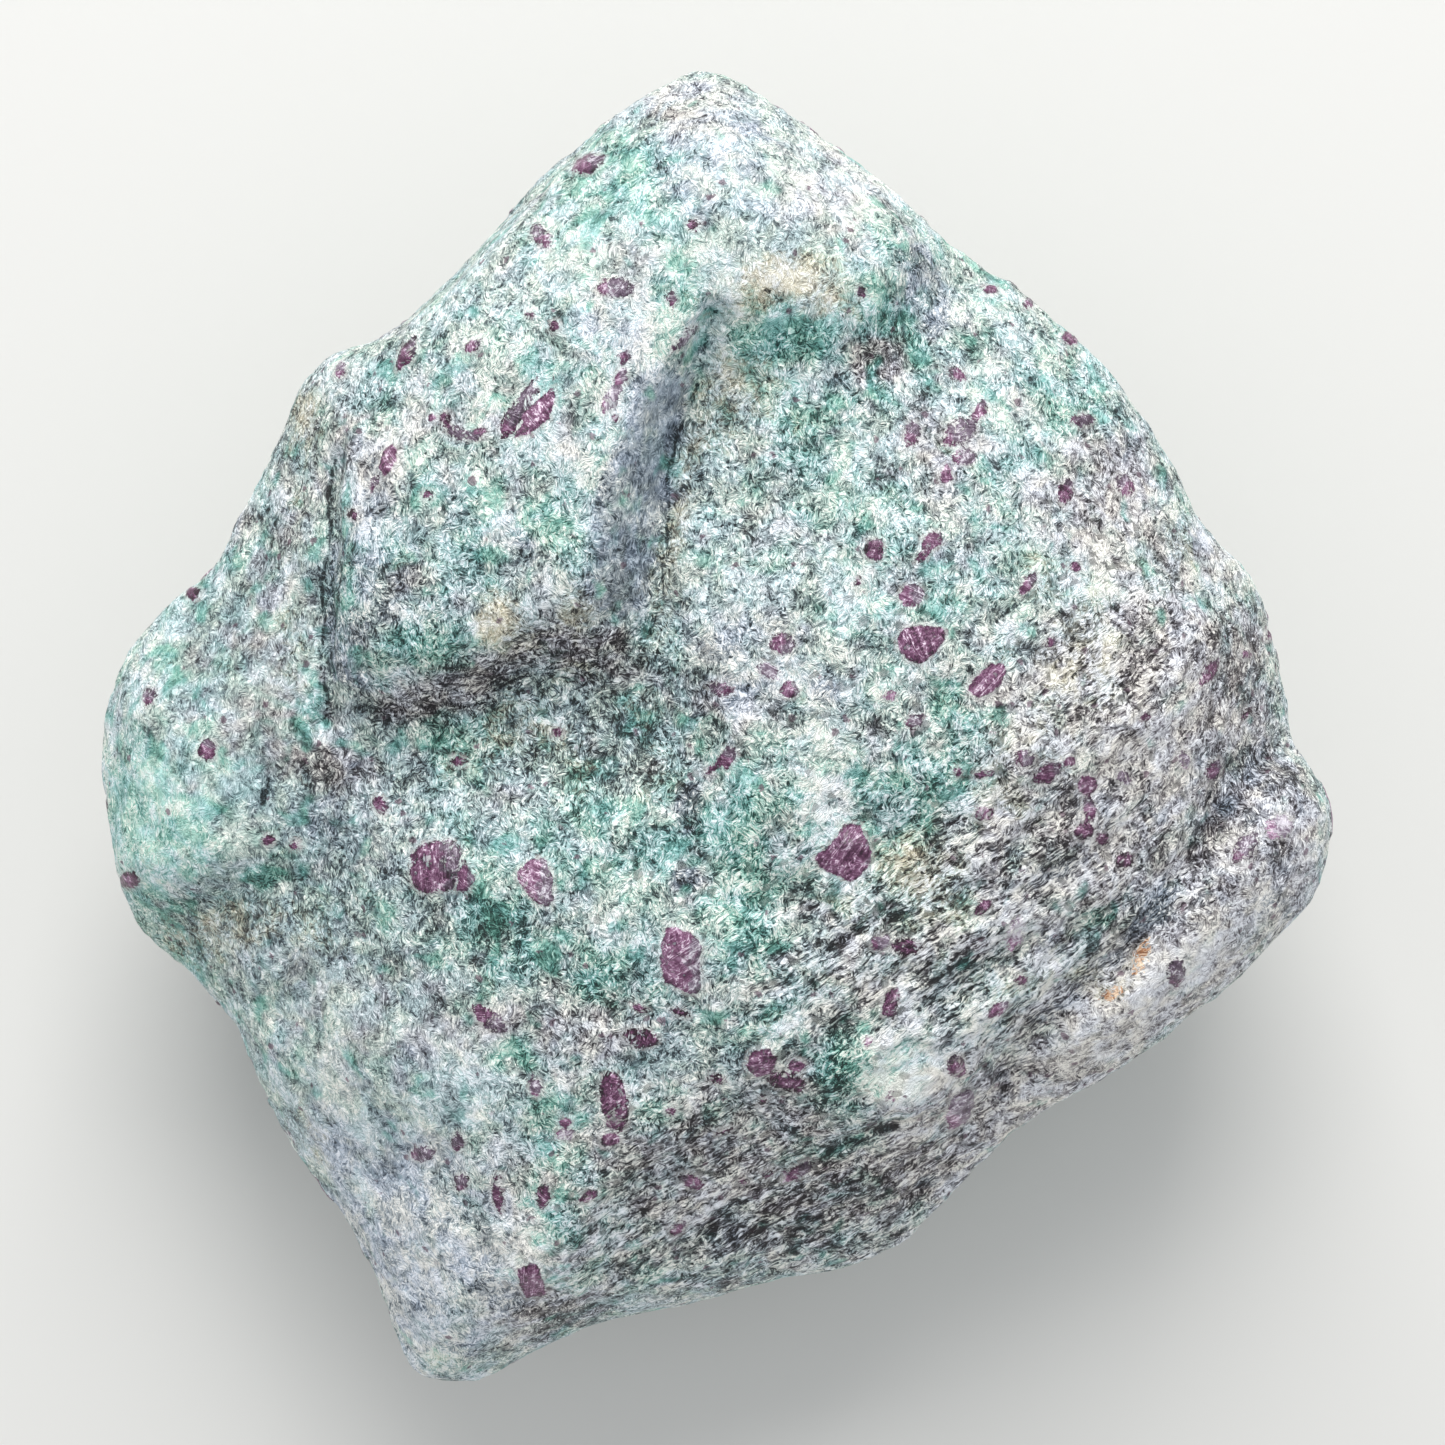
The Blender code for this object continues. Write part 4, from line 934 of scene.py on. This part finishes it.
@dataclass
class Stone:
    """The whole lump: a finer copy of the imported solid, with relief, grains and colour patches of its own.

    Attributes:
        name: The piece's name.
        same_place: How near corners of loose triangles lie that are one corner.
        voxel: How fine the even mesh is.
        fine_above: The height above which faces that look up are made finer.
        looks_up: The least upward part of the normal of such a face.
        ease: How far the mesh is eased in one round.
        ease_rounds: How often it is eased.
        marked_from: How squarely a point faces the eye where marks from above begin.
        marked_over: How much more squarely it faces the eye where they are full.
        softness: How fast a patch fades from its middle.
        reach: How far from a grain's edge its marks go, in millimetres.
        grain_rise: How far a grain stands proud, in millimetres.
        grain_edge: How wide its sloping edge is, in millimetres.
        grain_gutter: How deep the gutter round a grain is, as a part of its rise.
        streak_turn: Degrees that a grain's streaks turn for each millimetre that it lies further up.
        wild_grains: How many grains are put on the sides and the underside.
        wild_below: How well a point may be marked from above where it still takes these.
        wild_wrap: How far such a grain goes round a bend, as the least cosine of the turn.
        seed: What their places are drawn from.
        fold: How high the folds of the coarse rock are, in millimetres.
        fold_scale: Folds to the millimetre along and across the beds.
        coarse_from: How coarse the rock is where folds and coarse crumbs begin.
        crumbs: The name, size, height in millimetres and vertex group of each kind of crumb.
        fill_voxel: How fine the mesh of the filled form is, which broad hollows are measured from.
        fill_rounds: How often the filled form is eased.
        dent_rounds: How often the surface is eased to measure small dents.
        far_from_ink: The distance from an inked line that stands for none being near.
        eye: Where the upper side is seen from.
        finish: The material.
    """

    name: str = "ruby_fuchsite"
    same_place: float = 0.001 * MM
    voxel: float = 0.89 * MM
    fine_above: float = 24.0 * MM
    looks_up: float = 0.05
    ease: float = 0.5
    ease_rounds: int = 3
    marked_from: float = 0.05
    marked_over: float = 0.2
    softness: float = 0.7
    reach: float = 2.5
    grain_rise: float = 0.12
    grain_edge: float = 0.3
    grain_gutter: float = 0.5
    streak_turn: float = 37.5
    wild_grains: int = 170
    wild_below: float = 0.5
    wild_wrap: float = 0.4
    seed: int = 7
    fold: float = 0.7
    fold_scale: tuple[float, float] = (0.12, 0.42)
    coarse_from: float = 0.02
    crumbs: tuple[tuple[str, float, float, str], ...] = (
        ("crumbs", 3.2, 0.4, ""),
        ("grit", 1.4, 0.3, ""),
        ("lumps", 2.2, 0.7, "coarse"),
        ("bits", 1.1, 0.5, "coarse"),
    )
    fill_voxel: float = 2.4 * MM
    fill_rounds: int = 24
    dent_rounds: int = 12
    far_from_ink: float = 9.0
    eye: Eye = field(default_factory=Eye)
    finish: RockFinish = field(default_factory=RockFinish)

    def build(self, solid: bpy.types.Object) -> bpy.types.Object:
        """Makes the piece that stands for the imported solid.

        Args:
            solid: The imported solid, which is left as it is.

        Returns:
            The finished stone.
        """
        stone = self.copy_of(solid, self.name)
        self.refine(stone)
        self.carve(stone)
        self.roughen(stone)
        self.mark_grains(stone)
        self.mark_patches(stone)
        self.mark_shade_and_cracks(stone, solid)
        stone.data.shade_smooth()
        stone.data.materials.clear()
        stone.data.materials.append(self.finish.material())
        return stone

    def copy_of(self, solid: bpy.types.Object, name: str) -> bpy.types.Object:
        """A copy of the solid with its loose triangles merged, alone selected and active.

        Args:
            solid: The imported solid.
            name: The copy's name.

        Returns:
            The copy.
        """
        bpy.ops.object.select_all(action="DESELECT")
        stone = bpy.data.objects.new(name, solid.data.copy())
        bpy.context.scene.collection.objects.link(stone)
        stone.select_set(True)
        bpy.context.view_layer.objects.active = stone
        bpy.ops.object.mode_set(mode="EDIT")
        bpy.ops.mesh.select_all(action="SELECT")
        bpy.ops.mesh.remove_doubles(threshold=self.same_place)
        bpy.ops.object.mode_set(mode="OBJECT")
        return stone

    def refine(self, stone: bpy.types.Object) -> None:
        """Makes the mesh even and fine, and finer still on the upper side.

        Args:
            stone: The piece, alone selected and active.
        """
        finish_with(stone, "even mesh", "REMESH", mode="VOXEL", voxel_size=self.voxel)
        bpy.ops.object.mode_set(mode="EDIT")
        bpy.ops.mesh.select_all(action="DESELECT")
        bpy.ops.object.mode_set(mode="OBJECT")
        for face in stone.data.polygons:
            face.select = face.center.z > self.fine_above and face.normal.z > self.looks_up
        bpy.ops.object.mode_set(mode="EDIT")
        bpy.ops.mesh.subdivide(number_cuts=1, smoothness=0.0)
        bpy.ops.object.mode_set(mode="OBJECT")
        finish_with(stone, "ease", "SMOOTH", factor=self.ease, iterations=self.ease_rounds)

    def upper(self, stone: bpy.types.Object) -> tuple[np.ndarray, np.ndarray]:
        """What the eye above sees of each vertex.

        Args:
            stone: The piece.

        Returns:
            Where each vertex is seen, and how well it can be marked from there, from 0 to 1.
        """
        points = vertex_rows(stone, "co")
        facing = self.eye.facing(points, vertex_rows(stone, "normal"))
        return self.eye.seen(points), np.clip((facing - self.marked_from) / self.marked_over, 0, 1)

    def carve(self, stone: bpy.types.Object) -> None:
        """Eases the steepest walls, sinks the surface along the strokes and folds the coarse rock.

        Args:
            stone: The piece to carve.
        """
        seen, shown = self.upper(stone)
        places = vertex_rows(stone, "co")
        for easing in EASINGS:
            weight = closeness(seen, easing) * shown
            places += (self.eased(stone, places, easing.rounds) - places) * weight[:, None]
        move_to(stone, places)
        seen, shown = self.upper(stone)
        depth = np.zeros(len(seen))
        for stroke in STROKES:
            depth += stroke.depth * closeness(seen, stroke) * shown
        for row, coarse in self.coarse_rows(stone):
            along, across = turned_by(seen[row : row + 1], -self.finish.dip)[0] * self.fold_scale
            depth[row] += noise.noise(Vector((along, across, 0.0))) * self.fold * coarse
        move_to(stone, vertex_rows(stone, "co") - vertex_rows(stone, "normal") * depth[:, None] * MM)

    def roughen(self, stone: bpy.types.Object) -> None:
        """Raises crumbs and grit all over, and coarser crumbs where the rock is coarse.

        Args:
            stone: The piece, which is active.
        """
        group = stone.vertex_groups.new(name="coarse")
        for row, coarse in self.coarse_rows(stone):
            group.add([int(row)], float(coarse), "REPLACE")
        for name, size, depth, where in self.crumbs:
            clouds = bpy.data.textures.new(name, "CLOUDS")
            clouds.noise_scale = size * MM
            settings = {"texture": clouds, "texture_coords": "LOCAL", "vertex_group": where}
            finish_with(stone, name, "DISPLACE", strength=depth * MM, mid_level=0.5, **settings)

    def coarse_rows(self, stone: bpy.types.Object) -> list[tuple[int, float]]:
        """The number of each vertex of coarse rock, with how coarse it is there."""
        coarse = self.coverage(stone)["tones"][:, 2]
        return [(row, coarse[row]) for row in np.nonzero(coarse > self.coarse_from)[0]]

    def mark_grains(self, stone: bpy.types.Object) -> None:
        """Stores each vertex's distance from the nearest grain's edge, and that grain's hue and directions.

        The grains on the upper side stand where they are listed, and the rest of the stone has grains of the
        same kinds at random. Every grain is worn flat and stands a little proud.

        Args:
            stone: The piece to mark.
        """
        seen, shown = self.upper(stone)
        points = vertex_rows(stone, "co") / MM
        normals = vertex_rows(stone, "normal")
        marks = np.zeros((len(seen), 3), dtype=np.float32)
        lines = np.zeros((len(seen), 3), dtype=np.float32)
        marks[:, 0] = self.reach
        chance = np.random.default_rng(self.seed)
        for grain in GRAINS:
            offset = seen - (grain.x, grain.y)
            near = (shown > 0) & (np.abs(offset).max(axis=1) < grain.length + grain.width + self.reach)
            rows = np.nonzero(near)[0]
            self.mark_grain(marks, lines, rows, offset[rows], grain)
        hidden = np.nonzero(shown == 0)[0]
        for _ in range(self.wild_grains):
            centre = chance.choice(hidden)
            grain = KINDS[chance.integers(len(KINDS))]
            offset = points - points[centre]
            near = np.linalg.norm(offset, axis=1) < grain.length + grain.width + self.reach
            near &= (shown < self.wild_below) & (normals @ normals[centre] > self.wild_wrap)
            rows = np.nonzero(near)[0]
            first = np.cross(normals[centre], chance.normal(size=3))
            first /= np.linalg.norm(first)
            second = np.cross(normals[centre], first)
            flat = np.stack([offset[rows] @ first, offset[rows] @ second], axis=1)
            self.mark_grain(marks, lines, rows, flat, grain)
        store(stone, "ruby", marks)
        store(stone, "lines", lines)
        edge, gutter = self.grain_edge, self.grain_gutter
        rise = np.clip(-marks[:, 0] / edge, 0, 1) - gutter * np.exp(-(((marks[:, 0] - edge) / edge) ** 2))
        move_to(stone, vertex_rows(stone, "co") + normals * (rise * self.grain_rise * MM)[:, None])

    def mark_grain(
        self, marks: np.ndarray, lines: np.ndarray, rows: np.ndarray, flat: np.ndarray, grain: Grain
    ) -> None:
        """Marks one grain on the vertices round it.

        Args:
            marks: The distance, hue, and pallor with painted reflection of every vertex, which this changes.
            lines: The place of every vertex along and across its grain's streaks, and how far along the
                grain it is, which this changes.
            rows: The vertices round the grain.
            flat: Their places on the grain's face, from its middle, in millimetres.
            grain: The grain.
        """
        local = turned_by(flat, -grain.turn)
        corners = np.array(grain.outline.value) * (grain.length, grain.width)
        distance = distance_from_outline(local, corners)
        closer = distance < marks[rows, 0]
        rows = rows[closer]
        marks[rows, 0] = distance[closer]
        marks[rows, 1] = grain.hue.value
        marks[rows, 2] = grain.pallor_and_sheen
        lines[rows, :2] = turned_by(local[closer], grain.y * self.streak_turn)
        lines[rows, 2] = local[closer, 0] / grain.length

    def mark_patches(self, stone: bpy.types.Object) -> None:
        """Stores how strong each tint is at each vertex, and how much lighter the patches make the rock."""
        for name, layer in self.coverage(stone).items():
            store(stone, name, layer)

    def coverage(self, stone: bpy.types.Object) -> dict[str, np.ndarray]:
        """How strongly the patches and zones cover each vertex.

        Args:
            stone: The piece that they lie on.

        Returns:
            The channels of each attribute, one row for each vertex.
        """
        seen, shown = self.upper(stone)
        layers = {name: np.zeros((len(seen), 3), dtype=np.float32) for name in ("tints", "tones")}
        for patch in (*PATCHES, *ZONES):
            if isinstance(patch, Zone):
                outside = distance_from_outline(seen, np.array(patch.corners))
                weight = eased_step(0.5 - outside / patch.edge) * shown
            else:
                local = turned_by(seen - (patch.x, patch.y), -patch.turn)
                local /= (patch.length / 2, patch.width / 2)
                weight = np.exp(-self.softness * (local**2).sum(axis=1)) * shown
            for tint, amount in ((Tint.LIGHT, patch.light), (patch.tint, patch.strength)):
                name, channel = tint.value
                layers[name][:, channel] += weight * amount
        return {name: np.clip(layer, -1, 1) for name, layer in layers.items()}

    def mark_shade_and_cracks(self, stone: bpy.types.Object, solid: bpy.types.Object) -> None:
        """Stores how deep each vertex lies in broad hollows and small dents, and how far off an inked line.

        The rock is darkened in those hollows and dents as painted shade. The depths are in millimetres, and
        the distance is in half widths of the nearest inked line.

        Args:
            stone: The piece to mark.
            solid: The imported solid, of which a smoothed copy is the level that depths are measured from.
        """
        filled = self.copy_of(solid, "filled form")
        finish_with(filled, "coarse mesh", "REMESH", mode="VOXEL", voxel_size=self.fill_voxel)
        finish_with(filled, "fill", "SMOOTH", factor=1.0, iterations=self.fill_rounds)
        corners = [vertex.co for vertex in filled.data.vertices]
        tree = BVHTree.FromPolygons(corners, [tuple(face.vertices) for face in filled.data.polygons])
        points = vertex_rows(stone, "co")
        depths = np.zeros((len(points), 3), dtype=np.float32)
        for row, point in enumerate(points):
            nearest, normal, _, _ = tree.find_nearest(Vector(point))
            depths[row, 0] = (nearest - Vector(point)).dot(normal) / MM
        eased = self.eased(stone, points, self.dent_rounds)
        depths[:, 1] = ((eased - points) * vertex_rows(stone, "normal")).sum(axis=1) / MM
        bpy.data.objects.remove(filled)
        seen, shown = self.upper(stone)
        depths[:, 2] = self.far_from_ink
        for stroke in STROKES:
            if stroke.ink:
                away = distance_from_line(seen, np.array(stroke.line)) * 2 / stroke.ink
                depths[:, 2] = np.minimum(depths[:, 2], np.where(shown > 0, away, self.far_from_ink))
        store(stone, "form", depths)

    @staticmethod
    def eased(stone: bpy.types.Object, points: np.ndarray, rounds: int) -> np.ndarray:
        """Lets every vertex move to the middle of its neighbours.

        Args:
            stone: The piece whose edges say which vertices are neighbours.
            points: Where the vertices start.
            rounds: How often they move.

        Returns:
            Where they end.
        """
        ends = np.empty(len(stone.data.edges) * 2, dtype=np.int64)
        stone.data.edges.foreach_get("vertices", ends)
        first, second = ends.reshape(-1, 2).T
        size = len(points)
        count = np.bincount(ends, minlength=size)
        for _ in range(rounds):
            sums = [
                np.bincount(first, part[second], size) + np.bincount(second, part[first], size)
                for part in points.T
            ]
            points = np.stack(sums, axis=1) / count[:, None]
        return points


def finish_with(piece: bpy.types.Object, name: str, kind: str, **settings: Any) -> None:
    """Adds a modifier to a piece and applies it.

    Args:
        piece: The piece, which is active.
        name: The modifier's name.
        kind: Its type.
        settings: What its settings get.
    """
    modifier = piece.modifiers.new(name, kind)
    for setting, value in settings.items():
        setattr(modifier, setting, value)
    bpy.ops.object.modifier_apply(modifier=modifier.name)


def vertex_rows(piece: bpy.types.Object, what: str) -> np.ndarray:
    """What the vertices of a piece hold.

    Args:
        piece: The piece.
        what: "co" for their places, or "normal".

    Returns:
        One row of x, y and z for each vertex.
    """
    flat = np.empty(len(piece.data.vertices) * 3)
    piece.data.vertices.foreach_get(what, flat)
    return flat.reshape(-1, 3)


def move_to(piece: bpy.types.Object, places: np.ndarray) -> None:
    """Moves every vertex to its row's place."""
    piece.data.vertices.foreach_set("co", places.ravel())
    piece.data.update()


def store(piece: bpy.types.Object, name: str, rows: np.ndarray) -> None:
    """Keeps one vector for each vertex as a named attribute."""
    layer = piece.data.attributes.new(name, "FLOAT_VECTOR", "POINT")
    layer.data.foreach_set("vector", np.ascontiguousarray(rows, dtype=np.float32).ravel())


def eased_step(values: np.ndarray) -> np.ndarray:
    """Values held between 0 and 1, and eased near both."""
    held = np.clip(values, 0, 1)
    return held * held * (3 - 2 * held)


def turned_by(points: np.ndarray, degrees: float) -> np.ndarray:
    """Points of a plane turned anticlockwise about its origin.

    Args:
        points: One row of x and y for each point.
        degrees: How far they are turned.

    Returns:
        One row of x and y for each point.
    """
    angle = math.radians(degrees)
    cosine, sine = math.cos(angle), math.sin(angle)
    return points @ np.array([[cosine, sine], [-sine, cosine]])


def closeness(points: np.ndarray, stroke: Stroke | Easing) -> np.ndarray:
    """How close points are to a stroke or easing: 1 on its line, and little left past its width."""
    near = distance_from_line(points, np.array(stroke.line)) / (stroke.width / 2)
    return np.exp(-(near**2))


def distance_from_line(points: np.ndarray, line: np.ndarray) -> np.ndarray:
    """How far points are from an open line of straight runs.

    Args:
        points: One row of x and y for each point.
        line: One row of x and y for each end of a run.

    Returns:
        The distance of each point from the line.
    """
    nearest = np.full(len(points), np.inf)
    for start, end in zip(line[:-1], line[1:]):
        run = end - start
        offset = points - start
        part = np.clip(offset @ run / (run @ run), 0, 1)
        nearest = np.minimum(nearest, np.linalg.norm(offset - part[:, None] * run, axis=1))
    return nearest


def distance_from_outline(points: np.ndarray, corners: np.ndarray) -> np.ndarray:
    """How far points are outside a closed outline.

    Args:
        points: One row of x and y for each point.
        corners: One row of x and y for each corner.

    Returns:
        The distance of each point from the outline, negative inside it.
    """
    inside = np.zeros(len(points), dtype=bool)
    for start, end in zip(corners, np.roll(corners, -1, axis=0)):
        crosses = (start[1] > points[:, 1]) != (end[1] > points[:, 1])
        rise = end[1] - start[1] or 1e-9
        meets = start[0] + (end[0] - start[0]) * (points[:, 1] - start[1]) / rise
        inside ^= crosses & (points[:, 0] < meets)
    nearest = distance_from_line(points, np.vstack([corners, corners[:1]]))
    return np.where(inside, -nearest, nearest)


@dataclass(frozen=True)
class Lamp:
    """A soft square light: where it stands, its width, its power in watts and its colour."""

    name: str
    place: tuple[float, float, float]
    width: float
    power: float
    colour: str = "ffffff"


@dataclass
class Studio:
    """The pale floor and the soft lights round the stone."""

    floor_size: float = 6.0
    floor_colour: str = "d2d1ce"
    floor_roughness: float = 0.8
    sky: float = 0.8
    sky_colour: str = "f6f9fc"
    aim: tuple[float, float, float] = (0.0, 0.0, 0.03)
    lamps: tuple[Lamp, ...] = (Lamp("window", (0.0, 0.62, 0.56), 0.5, 7.2, "fdfcfa"),)

    def build(self) -> None:
        """Lays the floor, lights the sky and hangs the lamps."""
        bpy.ops.object.select_all(action="DESELECT")
        bpy.ops.mesh.primitive_plane_add(size=self.floor_size, location=(0, 0, 0))
        floor = bpy.context.active_object
        floor.name = "floor"
        paint = Paint("pale_floor")
        paint.feed(paint.shader, "Base Color", rgb(self.floor_colour))
        paint.feed(paint.shader, "Roughness", self.floor_roughness)
        floor.data.materials.append(paint.material)
        world = bpy.data.worlds.new("sky")
        world.use_nodes = True
        world.node_tree.nodes["Background"].inputs["Color"].default_value = rgb(self.sky_colour)
        world.node_tree.nodes["Background"].inputs["Strength"].default_value = self.sky
        bpy.context.scene.world = world
        for lamp in self.lamps:
            self.hang(lamp)
        bpy.context.scene.view_settings.view_transform = "Standard"

    def hang(self, lamp: Lamp) -> None:
        """Hangs one lamp so that it shines on the stone.

        Args:
            lamp: The lamp.
        """
        data = bpy.data.lights.new(lamp.name, "AREA")
        data.size = lamp.width
        data.energy = lamp.power
        data.color = rgb(lamp.colour)[:3]
        light = bpy.data.objects.new(lamp.name, data)
        light.location = lamp.place
        light.rotation_euler = (Vector(self.aim) - Vector(lamp.place)).to_track_quat("-Z", "Y").to_euler()
        bpy.context.scene.collection.objects.link(light)


def main() -> None:
    """Builds the stone, its surroundings and the camera, and logs the stone's triangle count."""
    logging.basicConfig(level=logging.INFO, format="%(name)s: %(message)s")
    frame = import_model()
    solid = frame["nodes"][NODE]
    stone = Stone().build(solid)
    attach(stone, "root")
    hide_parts(NODE)
    log.info("%s: %d triangles", stone.name, sum(len(face.vertices) - 2 for face in stone.data.polygons))
    Studio().build()
    Eye().camera()


if __name__ == "__main__":
    main()
